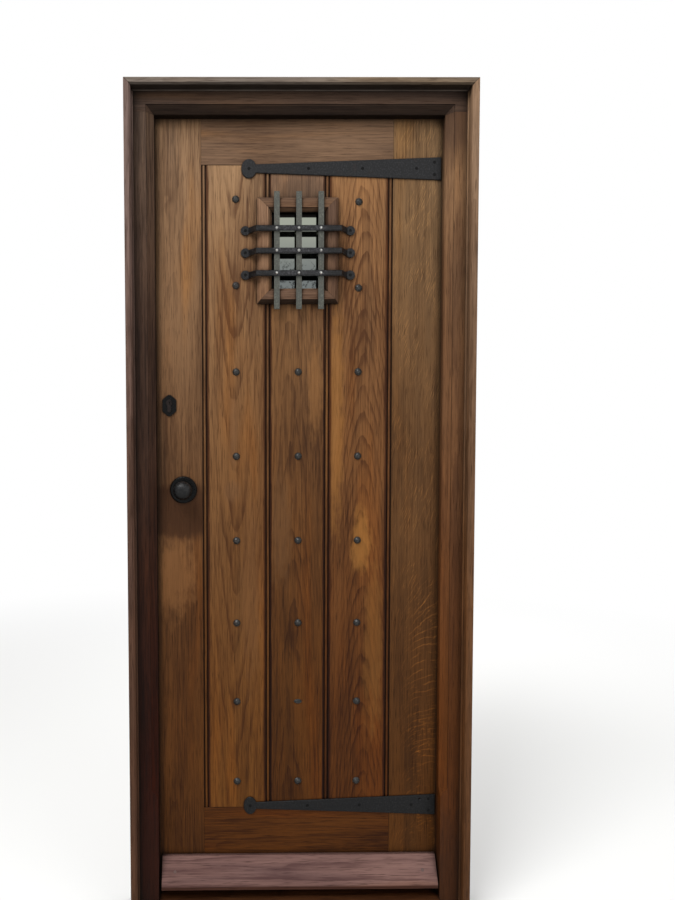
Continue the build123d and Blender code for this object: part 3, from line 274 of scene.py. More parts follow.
class EffectGroup(Graph):
    """A named node group with typed inputs and outputs, built once."""

    SOCKETS = {"F": "NodeSocketFloat", "V": "NodeSocketVector", "C": "NodeSocketColor"}

    def __init__(self, name: str, inputs: str, outputs: str) -> None:
        """Makes the empty group.

        Args:
            name: The group's name.
            inputs: Names with a type letter, such as "Vector:V, Seed:F".
            outputs: The same for the outputs.
        """
        super().__init__(bpy.data.node_groups.new(name, "ShaderNodeTree"))
        for text, direction in ((inputs, "INPUT"), (outputs, "OUTPUT")):
            for item in text.split(","):
                label, letter = item.strip().split(":")
                self.tree.interface.new_socket(
                    name=label, in_out=direction, socket_type=self.SOCKETS[letter]
                )
        self.source = self.tree.nodes.new("NodeGroupInput")
        self.sink = self.tree.nodes.new("NodeGroupOutput")

    def read(self, name: str) -> Socket:
        """Returns an input of the group, seen from inside."""
        return self.source.outputs[name]

    def give(self, **values: object) -> Tree:
        """Links the outputs by name.

        Args:
            **values: Output sockets, by their lower case names.

        Returns:
            The finished group.
        """
        for name, value in values.items():
            self.feed(self.sink.inputs[name.title()], value)
        return self.tree


class Effects:
    """The shared shader effects of the oak and the iron. Scales are in waves to a metre."""

    def __init__(self) -> None:
        """Builds each group once."""
        self.figure = self._figure()
        self.patch = self._patch()
        self.tint = self._tint()
        self.hammered = self._hammered()
        self.rays = self._rays()
        self.joint_shade = self._joint_shade()

    @staticmethod
    def _figure() -> Tree:
        """Makes oak: rings cut by the face, fibres, pores, and gold and grey drifts.

        Returns:
            The group.
        """
        sway_scale, ripple_scale, faint_scale = (5, 5, 1.6), (34, 34, 9), (20, 20, 6)
        streak_scale, fibre_scale, pore_scale = (95, 95, 2.2), (260, 260, 9), (620, 620, 20)
        blotch_scale, drift_scale = (9, 9, 2.2), (13, 13, 1.3)
        sideways, ripple_depth = 1.4, 0.011
        late_grows, late_ends = (0.45, 0.92), (0.93, 1.0, 1.0, 0.0)
        aside, fading = (0.015, 0.07, 1.0, 0.45), (0.35, 0.6, 0.35, 1.0)
        streak_share, fibre_share, blotch_share, plain_tone = 1.7, 2.2, 1.9, 0.3
        gold, gold_reach = (1.32, 1.12, 0.78, 1.0), (0.52, 0.72, 0.0, 0.8)
        grey, grey_reach = (0.62, 0.66, 0.76, 1.0), (0.48, 0.30, 0.0, 0.6)
        pore_reach, pore_strength, late_closes = (0.56, 0.70), 0.75, 0.7
        late_height, fibre_height, pore_height, pore_gloss = 0.25, 0.5, -0.8, 0.2
        g = EffectGroup(
            "oak_figure",
            "Vector:V, Seed:F, Pith:F, Tilt:F, Ring:F, Wander:F, Figure:F, Texture:F, "
            "Early:C, Late:C, Pore:C",
            "Color:C, Height:F, Gloss:F",
        )
        vector, seed = g.read("Vector"), g.read("Seed")
        parts = g.split(vector)
        sway = g.math("MULTIPLY", g.swing(vector, sway_scale, seed), g.read("Wander"))
        across = g.math("MULTIPLY_ADD", sway, sideways, parts["X"])
        deep = g.math("MULTIPLY", g.read("Pith"), g.read("Pith"))
        radius = g.math("SQRT", g.math("MULTIPLY_ADD", across, across, deep))
        climb = g.math("MULTIPLY_ADD", parts["Z"], g.read("Tilt"), radius)
        ripple = g.swing(vector, ripple_scale, seed, 3.0, 0.6)
        path = g.math("MULTIPLY_ADD", ripple, ripple_depth, g.math("ADD", climb, sway))
        saw = g.math("FRACT", g.math("DIVIDE", path, g.read("Ring")))
        late = g.math("MULTIPLY", g.remap(saw, *late_grows), g.remap(saw, *late_ends))
        late = g.math("MULTIPLY", late, g.remap(g.math("ABSOLUTE", parts["X"]), *aside))
        faint = g.noise(vector, faint_scale, g.math("ADD", seed, 11.0))
        late = g.math("MULTIPLY", late, g.remap(faint, *fading))
        streak = g.swing(vector, streak_scale, seed, 4.0, 0.65, 0.3)
        fibre = g.noise(vector, fibre_scale, seed, 3.0, 0.65)
        coarse = g.math("MULTIPLY", streak, streak_share)
        fine = g.math("MULTIPLY_ADD", g.math("SUBTRACT", fibre, 0.5), fibre_share, coarse)
        rings = g.math("MULTIPLY", late, g.read("Figure"))
        tone = g.math("MULTIPLY_ADD", fine, g.read("Texture"), rings)
        tone = g.math("MULTIPLY_ADD", g.swing(vector, blotch_scale, seed), blotch_share, tone)
        tone = g.math("ADD", tone, plain_tone, clamp=True)
        colour = g.mix(tone, g.read("Early"), g.read("Late"))
        drift = g.noise(vector, drift_scale, g.math("ADD", seed, 7.3), 2.0, 0.6)
        for tint, reach in ((gold, gold_reach), (grey, grey_reach)):
            tinted = g.mix(1.0, colour, tint, "MULTIPLY")
            colour = g.mix(g.remap(drift, *reach), colour, tinted)
        pore = g.remap(g.noise(vector, pore_scale, seed), *pore_reach)
        early_only = g.math("SUBTRACT", 1.0, g.math("MULTIPLY", late, late_closes))
        open_grain = g.math("MULTIPLY", pore, early_only)
        colour = g.mix(g.math("MULTIPLY", open_grain, pore_strength), colour, g.read("Pore"))
        raised = g.math("MULTIPLY", fibre, fibre_height)
        height = g.math("MULTIPLY_ADD", late, late_height, raised)
        height = g.math("MULTIPLY_ADD", open_grain, pore_height, height)
        gloss = g.math("MULTIPLY", open_grain, pore_gloss)
        return g.give(color=colour, height=height, gloss=gloss)

    @staticmethod
    def _rays() -> Tree:
        """Makes medullary rays: fine strokes that lean to the right, and long curved ones.

        Returns:
            The group.
        """
        lean_slope, bend_at, bend_rate, rise = 2.8, 0.045, -42.0, 0.03
        straightens, wobble_scale, wobble_depth = (0.6, 1.4), (22, 22, 11), 0.02
        stroke_scales, stroke_reach = (70.0, 190.0), (0.55, 0.63)
        patch_scale, patch_reach = (14, 14, 7), (0.40, 0.62, 0.1, 1.0)
        shift_scale, shift_depth, spacing, thickness = (5, 5, 13), 3.2, 0.017, (0.11, 0.04)
        run_scales, run_reach = (16.0, 46.0), (0.38, 0.50)
        zone_side, zone_foot, zone_top = (0.045, 0.075), (0.34, 0.42), (0.92, 0.80)
        g = EffectGroup("oak_rays", "Vector:V, Left:F, Seed:F", "Fine:F, Long:F")
        vector, seed = g.read("Vector"), g.read("Seed")
        parts = g.split(vector)
        along = g.math("SUBTRACT", parts["X"], g.read("Left"))
        past_bend = g.math("MULTIPLY", g.math("SUBTRACT", along, bend_at), bend_rate)
        curve = g.math("MULTIPLY", g.math("SUBTRACT", 1.0, g.math("EXPONENT", past_bend)), rise)
        lean = g.math("SUBTRACT", g.math("MULTIPLY", along, lean_slope), curve)
        route = g.math("MULTIPLY_ADD", g.remap(parts["Z"], *straightens), lean, curve)
        level = g.math("SUBTRACT", parts["Z"], route)
        across = g.math("MULTIPLY_ADD", g.swing(vector, wobble_scale, seed), wobble_depth, level)
        paths = []
        for scales in (stroke_scales, run_scales):
            path = g.add("CombineXYZ")
            for axis, distance, scale in zip("XZ", (along, across), scales):
                g.feed(path.inputs[axis], g.math("MULTIPLY", distance, scale))
            paths.append(path.outputs[0])
        strokes = g.remap(g.noise(paths[0], None, seed), *stroke_reach)
        patchy = g.remap(g.noise(vector, patch_scale, seed), *patch_reach)
        shift = g.noise(vector, shift_scale, g.math("ADD", seed, 4.0))
        step = g.math("MULTIPLY_ADD", shift, shift_depth, g.math("DIVIDE", across, spacing))
        line = g.math("ABSOLUTE", g.math("SUBTRACT", g.math("FRACT", step), 0.5))
        runs = g.remap(g.noise(paths[1], None, g.math("ADD", seed, 9.0)), *run_reach)
        long = g.math("MULTIPLY", g.remap(line, *thickness), runs)
        zone = g.math("MULTIPLY", g.remap(along, *zone_side), g.remap(parts["Z"], *zone_foot))
        zone = g.math("MULTIPLY", zone, g.remap(parts["Z"], *zone_top))
        fine = g.math("MULTIPLY", strokes, patchy)
        return g.give(fine=fine, long=g.math("MULTIPLY", long, zone))

    @staticmethod
    def _joint_shade() -> Tree:
        """Makes dark wax and dust, with painted shade in the quirks, along a member's two edges,
        thinner on the crest of a bead.

        Returns:
            The group.
        """
        edge_scale, edge_depth, full_share = (40, 40, 7), 0.008, 0.7
        bead_middle, bead_reach = 0.0062, (0.0022, 0.0042)
        inputs = "Vector:V, Left:F, Right:F, Reach:F, Crest:F, Seed:F"
        g = EffectGroup("joint_shade", inputs, "Mask:F")
        vector, reach = g.read("Vector"), g.read("Reach")
        place = g.split(vector)["X"]
        sides = [
            g.math("ABSOLUTE", g.math("SUBTRACT", place, g.read(side))) for side in ("Left", "Right")
        ]
        near = g.math("MINIMUM", *sides)
        rough = g.swing(vector, edge_scale, g.read("Seed"), 3.0, 0.6)
        edge = g.math("MULTIPLY_ADD", rough, edge_depth, near)
        band = g.remap(edge, reach, g.math("MULTIPLY", reach, full_share))
        off_bead = g.math("ABSOLUTE", g.math("SUBTRACT", near, bead_middle))
        crest = g.remap(off_bead, *bead_reach, g.read("Crest"), 1.0)
        return g.give(mask=g.math("MULTIPLY", band, crest))

    @staticmethod
    def _patch() -> Tree:
        """Makes a ragged patch: 1 inside an ellipsoid and 0 outside it.

        Returns:
            The group.
        """
        edge_scale = (60, 60, 22)
        inputs = "Vector:V, Centre:V, Size:V, Seed:F, Ragged:F, Core:F"
        g = EffectGroup("ragged_patch", inputs, "Mask:F")
        vector = g.read("Vector")
        moved = g.vector("SUBTRACT", vector, g.read("Centre"))
        away = g.vector("LENGTH", g.vector("DIVIDE", moved, g.read("Size")))
        rough = g.swing(vector, edge_scale, g.read("Seed"), 3.0, 0.6)
        edge = g.math("MULTIPLY_ADD", rough, g.read("Ragged"), away)
        return g.give(mask=g.remap(edge, g.read("Core"), 1.0, 1.0, 0.0))

    @staticmethod
    def _tint() -> Tree:
        """Makes a tint that goes from the foot's to the head's, broken up by weather.

        Returns:
            The group.
        """
        drift_scale, drift_depth, heights, lateness = (6, 6, 1.1), 0.7, (0.1, 2.0), 2.2
        g = EffectGroup("height_tint", "Vector:V, Color:C, Foot:C, Head:C, Seed:F", "Color:C")
        vector = g.read("Vector")
        drift = g.swing(vector, drift_scale, g.read("Seed"))
        level = g.math("MULTIPLY_ADD", drift, drift_depth, g.split(vector)["Z"])
        share = g.math("POWER", g.remap(level, *heights, kind="LINEAR"), lateness)
        tint = g.mix(share, g.read("Foot"), g.read("Head"))
        return g.give(color=g.mix(1.0, g.read("Color"), tint, "MULTIPLY"))

    @staticmethod
    def _hammered() -> Tree:
        """Makes hammered iron: overlapping dents, scale and a little rust.

        Returns:
            The group.
        """
        dent_scale, scale_scale, rust_scale = (110, 110, 110), (240, 240, 240), (38, 38, 38)
        dent_blend, scale_height, rust_reach = 0.7, 0.25, (0.56, 0.72)
        g = EffectGroup("hammered_iron", "Vector:V, Seed:F", "Height:F, Scale:F, Rust:F")
        vector, seed = g.read("Vector"), g.read("Seed")
        dents = g.add("TexVoronoi", voronoi_dimensions="4D", feature="SMOOTH_F1")
        g.feed(dents.inputs["Vector"], g.vector("MULTIPLY", vector, dent_scale))
        g.feed(dents.inputs["W"], seed)
        g.feed(dents.inputs["Smoothness"], dent_blend)
        scale = g.noise(vector, scale_scale, seed, 4.0, 0.6)
        rust = g.remap(g.noise(vector, rust_scale, seed, 4.0, 0.65), *rust_reach)
        height = g.math("MULTIPLY_ADD", scale, scale_height, dents.outputs["Distance"])
        return g.give(height=height, scale=scale, rust=rust)


@dataclass(frozen=True)
class Finish:
    """What every finish shares: a named material, and its bump's depth in metres and strength."""

    name: str
    RELIEF: ClassVar[Span] = (0.0, 0.0)

    def start(self) -> tuple[Material, Graph, Node, Socket]:
        """Makes the material.

        Returns:
            The material, its graph, its Principled shader and its object coordinates.
        """
        material = bpy.data.materials.new(self.name)
        material.use_nodes = True
        graph = Graph(material.node_tree)
        place = graph.add("TexCoord").outputs["Object"]
        return material, graph, material.node_tree.nodes["Principled BSDF"], place

    def bump(self, graph: Graph, shader: Node, height: Socket) -> None:
        """Adds a bump.

        Args:
            graph: The material's graph.
            shader: Its shader.
            height: What stands out or lies deep.
        """
        node = graph.add("Bump")
        for name, given in zip(("Height", "Distance", "Strength"), (height, *self.RELIEF)):
            graph.feed(node.inputs[name], given)
        graph.feed(shader.inputs["Normal"], node.outputs["Normal"])


@dataclass(frozen=True)
class StainOrShadow:
    """A ragged stain or painted shadow on a member: its middle, its half sizes and how it blends."""

    centre: Point
    size: Point
    tint: Colour
    strength: float = 0.6
    ragged: float = 1.0
    core: float = 0.35


@dataclass(frozen=True)
class Cut:
    """How a member was sawn: the pith's depth, the rise of its rings and their width."""

    pith: float
    tilt: float
    ring: float


JAMB_CUT = Cut(0.03, 0.01, 0.006)
MOULDING_CUT = Cut(0.03, 0.01, 0.005)
STRAIGHT_CUT = Cut(0.02, 0.01, 0.005)
LEDGE_CUT = Cut(0.04, 0.03, 0.007)
WIDE_LEDGE_CUT = Cut(0.04, 0.03, 0.008)


@dataclass(frozen=True)
class OakFinish(Finish):
    """Oiled oak of one member, with its own board's figure and weather, and painted shade in its
    hollows and on its undersides.
    """

    early: Colour
    late: Colour
    grain: Grain
    seed: float
    pith_x: float
    cut: Cut
    wander: float = 0.03
    figure: float = 0.34
    texture: float = 1.0
    rays: Span = (0.0, 0.0)
    rays_from: float = 0.0
    joints: tuple[float, ...] = ()
    joint_reach: float = 4 * MM
    crest: float = 1.0
    pore: Colour = (46, 26, 14)
    foot: Colour = (150, 120, 76)
    head: Colour = (235, 240, 255)
    # Painted shade in hollows and on undersides: its strength, its colour, and how far the hollows
    # reach.
    painted_shade: float = 0.9
    painted_shade_tint: Colour = (16, 9, 5)
    reach: float = 24 * MM
    # A tint of painted shade for faces that stand upright; white leaves them as they are.
    upright_shade_tint: Colour = UNTINTED
    stains_and_shadows: tuple[StainOrShadow, ...] = ()
    rough: float = 0.55
    specular: float = 0.1
    RELIEF: ClassVar[Span] = (0.6 * MM, 0.6)

    def material(self, effects: Effects) -> Material:
        """Builds the material.

        Args:
            effects: The shared effects.

        Returns:
            The material.
        """
        material, g, shader, place = self.start()
        turn = g.add("Mapping")
        g.feed(turn.inputs["Vector"], place)
        turn.inputs["Rotation"].default_value = self.grain.value
        turn.inputs["Location"].default_value = (-self.pith_x, 0.0, 0.0)
        figure = g.group(
            effects.figure, vector=turn.outputs["Vector"], seed=self.seed, pith=self.cut.pith,
            tilt=self.cut.tilt, ring=self.cut.ring, wander=self.wander, figure=self.figure,
            texture=self.texture, early=linear(self.early), late=linear(self.late),
            pore=linear(self.pore),
        )
        colour = g.group(
            effects.tint, vector=place, color=figure["Color"], foot=linear(self.foot),
            head=linear(self.head), seed=self.seed + 3.0,
        )["Color"]
        colour = self.stained_and_shaded(g, effects, place, colour)
        # Painted shade: upright faces are darker than faces that look up.
        if self.upright_shade_tint != UNTINTED:
            flat_to_upright = (0.3, 0.15)
            level = g.split(g.add("NewGeometry").outputs["Normal"])["Z"]
            shaded = g.mix(1.0, colour, linear(self.upright_shade_tint), "MULTIPLY")
            colour = g.mix(g.remap(level, *flat_to_upright), colour, shaded)
        # Painted shade in quirks, corners and undersides.
        colour = g.mix(self.shade_in_hollows(g), colour, linear(self.painted_shade_tint))
        g.feed(shader.inputs["Base Color"], colour)
        g.feed(shader.inputs["Roughness"], g.math("ADD", figure["Gloss"], self.rough, clamp=True))
        shader.inputs["Specular IOR Level"].default_value = self.specular
        self.bump(g, shader, figure["Height"])
        return material

    def stained_and_shaded(self, graph: Graph, effects: Effects, place: Socket, colour: Socket) -> Socket:
        """Lays the member's stains and painted shadows, pale rays, and dark joints with painted shade
        in their quirks over a colour.

        Args:
            graph: The material's graph.
            effects: The shared effects.
            place: The object coordinates.
            colour: The colour underneath.

        Returns:
            The colour on top.
        """
        ray_gain, wax_and_shade = (2.1, 2.05, 1.8, 1.0), (0.27, 0.18, 0.13, 1.0)
        # Stains, and painted shadows where the members list them.
        for count, stain_or_shadow in enumerate(self.stains_and_shadows):
            mask = graph.group(
                effects.patch, vector=place, centre=stain_or_shadow.centre, size=stain_or_shadow.size,
                seed=self.seed + count, ragged=stain_or_shadow.ragged, core=stain_or_shadow.core,
            )["Mask"]
            factor = graph.math("MULTIPLY", mask, stain_or_shadow.strength)
            colour = graph.mix(factor, colour, linear(stain_or_shadow.tint))
        if any(self.rays):
            strokes = graph.group(effects.rays, vector=place, left=self.rays_from, seed=self.seed)
            for output, strength in zip(("Fine", "Long"), self.rays):
                pale = graph.mix(1.0, colour, ray_gain, "MULTIPLY")
                factor = graph.math("MULTIPLY", strokes[output], strength)
                colour = graph.mix(factor, colour, pale)
        # Dark wax and dust at the joints, with painted shade in the quirks beside the beads.
        if self.joints:
            shade = graph.group(
                effects.joint_shade, vector=place, left=self.joints[0], right=self.joints[-1],
                reach=self.joint_reach, crest=self.crest, seed=self.seed,
            )
            dark = graph.mix(1.0, colour, wax_and_shade, "MULTIPLY")
            colour = graph.mix(shade["Mask"], colour, dark)
        return colour

    def shade_in_hollows(self, graph: Graph) -> Socket:
        """Finds where shade is painted: quirks, corners and undersides.

        Args:
            graph: The material's graph.

        Returns:
            How much painted shade there is.
        """
        open_to_closed, level_to_under = (0.88, 0.38), (-0.4, -0.9)
        closed = graph.add("AmbientOcclusion", samples=6)
        closed.inputs["Distance"].default_value = self.reach
        deep = graph.remap(closed.outputs["AO"], *open_to_closed, 0.0, self.painted_shade)
        facing = graph.split(graph.add("NewGeometry").outputs["Normal"])["Z"]
        under = graph.remap(facing, *level_to_under, 0.0, self.painted_shade)
        return graph.math("MAXIMUM", deep, under)


@dataclass(frozen=True)
class IronFinish(Finish):
    """Blacked iron, hammered, with a trace of rust, and darker where it turns from the light."""

    base: Colour
    worn: Colour
    seed: float
    rust: float = 0.2
    rough: float = 0.5
    metal: float = 0.0
    specular: float = 0.4
    lit_heights: Span = (-2.0, -1.0)
    lit_sides: Span = (8.0, 9.0)
    unlit: float = 0.25
    unlit_tint: Colour = (3, 3, 3)
    rust_tint: Colour = (96, 58, 38)
    rough_swing: float = 0.3
    worn_scale: Span = (0.45, 0.75)
    rust_metal: float = -0.3
    RELIEF: ClassVar[Span] = (0.8 * MM, 0.5)

    def material(self, effects: Effects) -> Material:
        """Builds the material.

        Args:
            effects: The shared effects.

        Returns:
            The material.
        """
        material, g, shader, place = self.start()
        skin = g.group(effects.hammered, vector=place, seed=self.seed)
        worn = g.remap(skin["Scale"], *self.worn_scale)
        colour = g.mix(worn, linear(self.base), linear(self.worn))
        rusty = g.math("MULTIPLY", skin["Rust"], self.rust)
        colour = g.mix(rusty, colour, linear(self.rust_tint))
        parts = g.split(place)
        upper = g.remap(parts["Z"], *self.lit_heights, self.unlit, 1.0)
        inner = g.remap(g.math("ABSOLUTE", parts["X"]), *self.lit_sides, 1.0, self.unlit)
        lit = g.math("MULTIPLY", upper, inner)
        g.feed(shader.inputs["Base Color"], g.mix(lit, linear(self.unlit_tint), colour))
        smoothest = self.rough - self.rough_swing / 2
        rough = g.math("MULTIPLY_ADD", skin["Scale"], self.rough_swing, smoothest, clamp=True)
        g.feed(shader.inputs["Roughness"], rough)
        metal = g.math("MULTIPLY_ADD", rusty, self.rust_metal, self.metal, clamp=True)
        g.feed(shader.inputs["Metallic"], metal)
        shader.inputs["Specular IOR Level"].default_value = self.specular
        self.bump(g, shader, skin["Height"])
        return material


@dataclass(frozen=True)
class MetalFinish(Finish):
    """Plain worked metal with fine scratches."""

    bright: Colour
    dull: Colour
    rough: float
    seed: float
    metal: float = 0.9
    brushed: Point = (900.0, 900.0, 30.0)
    cloud: Point = (70.0, 70.0, 70.0)
    filled_below: float = 0.0
    filler: Colour = (84, 60, 55)
    filler_fade: float = 10 * MM
    dull_reach: Span = (0.35, 0.7)
    rough_swing: float = 0.25
    rough_drop: float = 0.12
    RELIEF: ClassVar[Span] = (0.1 * MM, 0.4)

    def material(self, effects: Effects) -> Material:
        """Builds the material.

        Args:
            effects: The shared effects, unused here.

        Returns:
            The material.
        """
        material, g, shader, place = self.start()
        lines = g.noise(place, self.brushed, self.seed, 3.0, 0.6)
        cloud = g.noise(place, self.cloud, self.seed + 1, 3.0, 0.6)
        colour = g.mix(g.remap(cloud, *self.dull_reach), linear(self.bright), linear(self.dull))
        shader.inputs["Metallic"].default_value = self.metal
        if self.filled_below:
            top = self.filled_below + self.filler_fade
            filled = g.remap(g.split(place)["Z"], top, self.filled_below)
            colour = g.mix(filled, colour, linear(self.filler))
            bare = g.math("MULTIPLY_ADD", filled, -self.metal, self.metal)
            g.feed(shader.inputs["Metallic"], bare)
        g.feed(shader.inputs["Base Color"], colour)
        smoothest = self.rough - self.rough_drop
        rough = g.math("MULTIPLY_ADD", lines, self.rough_swing, smoothest, clamp=True)
        g.feed(shader.inputs["Roughness"], rough)
        self.bump(g, shader, lines)
        return material


@dataclass(frozen=True)
class RubberFinish(Finish):
    """Black seal rubber with a dusty bloom."""

    clean: Colour = (18, 18, 18)
    dusty: Colour = (46, 45, 43)
    rough: float = 0.75
    bloom: Point = (160, 160, 60)
    bloom_reach: Span = (0.45, 0.75)
    RELIEF: ClassVar[Span] = (0.2 * MM, 0.4)

    def material(self, effects: Effects) -> Material:
        """Builds the material.

        Args:
            effects: The shared effects, unused here.

        Returns:
            The material.
        """
        material, g, shader, place = self.start()
        bloom = g.noise(place, self.bloom, 4.0, 3.0, 0.6)
        dusty = g.remap(bloom, *self.bloom_reach)
        colour = g.mix(dusty, linear(self.clean), linear(self.dusty))
        g.feed(shader.inputs["Base Color"], colour)
        shader.inputs["Roughness"].default_value = self.rough
        self.bump(g, shader, bloom)
        return material


@dataclass(frozen=True)
class GlassFinish(Finish):
    """Pane whose colour is a painted reflection of a pale sky, darker low down, with painted
    reflections of twigs low down and of the dark reveal round its sight.
    """

    sky_reflection: Colour
    low_sky_reflection: Colour
    twig_reflection_tint: Colour = (34, 36, 36)
    reveal_reflection_tint: Colour = (16, 14, 13)
    left: float = -60 * MM
    right: float = 58 * MM
    low: float = 1660 * MM
    high: float = 1824 * MM
    reveal_reflection_width: float = 3 * MM
    twig_reflection_heights: Span = (1720 * MM, 1690 * MM)
    twig_reflection_width: Span = (0.02, 0.004)
    smooth: Span = (0.02, 0.09)
    twig_reflections: Point = (30, 30, 24)
    dust: Point = (24, 24, 16)
    dust_reach: Span = (0.3, 0.9)

    def material(self, effects: Effects) -> Material:
        """Builds the material.

        Args:
            effects: The shared effects, unused here.

        Returns:
            The material.
        """
        material, g, shader, place = self.start()
        parts = g.split(place)
        # Painted sky reflection, darker low down.
        level = g.remap(parts["Z"], self.high, self.low)
        colour = g.mix(level, linear(self.sky_reflection), linear(self.low_sky_reflection))
        # Painted reflections of twigs, low down.
        twig_reflections = g.math("ABSOLUTE", g.swing(place, self.twig_reflections, 5.0, 5.0, 0.7))
        lower = g.remap(parts["Z"], *self.twig_reflection_heights)
        twig_reflections = g.math("MULTIPLY", g.remap(twig_reflections, *self.twig_reflection_width), lower)
        colour = g.mix(twig_reflections, colour, linear(self.twig_reflection_tint))
        # Painted reflection of the dark reveal along the left, right and top of the sight.
        edges = (
            ("X", self.left + self.reveal_reflection_width, self.left),
            ("X", self.right - self.reveal_reflection_width, self.right),
            ("Z", self.high - self.reveal_reflection_width, self.high),
        )
        for axis, clear, dark in edges:
            edge = g.remap(parts[axis], clear, dark)
            colour = g.mix(edge, colour, linear(self.reveal_reflection_tint))
        g.feed(shader.inputs["Base Color"], colour)
        dust = g.noise(place, self.dust, 2.0, 3.0, 0.6)
        g.feed(shader.inputs["Roughness"], g.remap(dust, *self.dust_reach, *self.smooth))
        shader.inputs["Metallic"].default_value = 1.0
        return material


# Modelling by operator


def deselect_all() -> None:
    """Deselects every object."""
    for other in bpy.context.view_layer.objects:
        other.select_set(False)


def select_only(piece: Piece) -> None:
    """Selects one object and makes it active.

    Args:
        piece: The object.
    """
    deselect_all()
    piece.select_set(True)
    bpy.context.view_layer.objects.active = piece


def soften(piece: Piece, width: float) -> None:
    """Rounds a piece's sharp edges with an applied bevel.

    Args:
        piece: The object.
        width: The bevel's width in metres.
    """
    sharpest_kept = 32.0
    select_only(piece)
    bpy.ops.object.shade_smooth()
    bevel = piece.modifiers.new("arris", "BEVEL")
    bevel.width = width
    bevel.segments = 2
    bevel.limit_method = "ANGLE"
    bevel.angle_limit = math.radians(sharpest_kept)
    bevel.harden_normals = True
    bevel.use_clamp_overlap = True
    bpy.ops.object.modifier_apply(modifier=bevel.name)


def worked_copy(node: str, name: str, width: float) -> Piece:
    """Copies a CAD node's solid, joins its faces and rounds its edges.

    Args:
        node: The CAD node.
        name: The new piece's name.
        width: The rounding in metres.

    Returns:
        The new piece, which takes the node's place.
    """
    join_distance, flat_angle = 0.01 * MM, 0.5
    mesh = frame["nodes"][node].data.copy()
    mesh.materials.clear()
    piece = bpy.data.objects.new(name, mesh)
    bpy.context.scene.collection.objects.link(piece)
    select_only(piece)
    bpy.ops.mesh.customdata_custom_splitnormals_clear()
    bpy.ops.object.mode_set(mode="EDIT")
    bpy.ops.mesh.select_all(action="SELECT")
    bpy.ops.mesh.remove_doubles(threshold=join_distance)
    bpy.ops.mesh.dissolve_limited(angle_limit=math.radians(flat_angle))
    bpy.ops.object.mode_set(mode="OBJECT")
    soften(piece, width)
    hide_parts(node)
    return piece


def hand_over(piece: Piece, body: Body, material: Material) -> None:
    """Gives a finished piece its body and material, and reports it.

    Args:
        piece: The object.
        body: What it moves with.
        material: Its material.
    """
    piece.data.materials.clear()
    piece.data.materials.append(material)
    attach(piece, body.value)
    LOG.info("%s: %d faces on %s", piece.name, len(piece.data.polygons), body.value)


def dress_node(node: str, material: Material) -> None:
    """Gives a kept CAD node a better material, and reports it.

    Args:
        node: The node.
        material: The material.
    """
    piece = frame["nodes"][node]
    if not piece.material_slots:
        piece.data.materials.append(material)
    for slot in piece.material_slots:
        slot.material = material
    LOG.info("%s: kept, in %s", node, material.name)


Members = dict[str, dict[str, OakFinish]]


@dataclass
class Joinery:
    """Oak members that keep their solids, with their arrises rubbed down."""

    effects: Effects
    body: Body = Body.LEAF
    arris: float = 1.2 * MM

    def finishes(self) -> Members:
        """Lists each material slot's nodes with their finishes."""
        raise NotImplementedError

    def rounding(self, node: str) -> float:
        """Returns how far the arrises of a node are rubbed down."""
        return self.arris

    def build(self) -> None:
        """Makes the worked copies and dresses them."""
        for slot, members in self.finishes().items():
            for node, finish in members.items():
                piece = worked_copy(node, "worked_" + node, self.rounding(node))
                hand_over(piece, self.body, finish.material(self.effects))


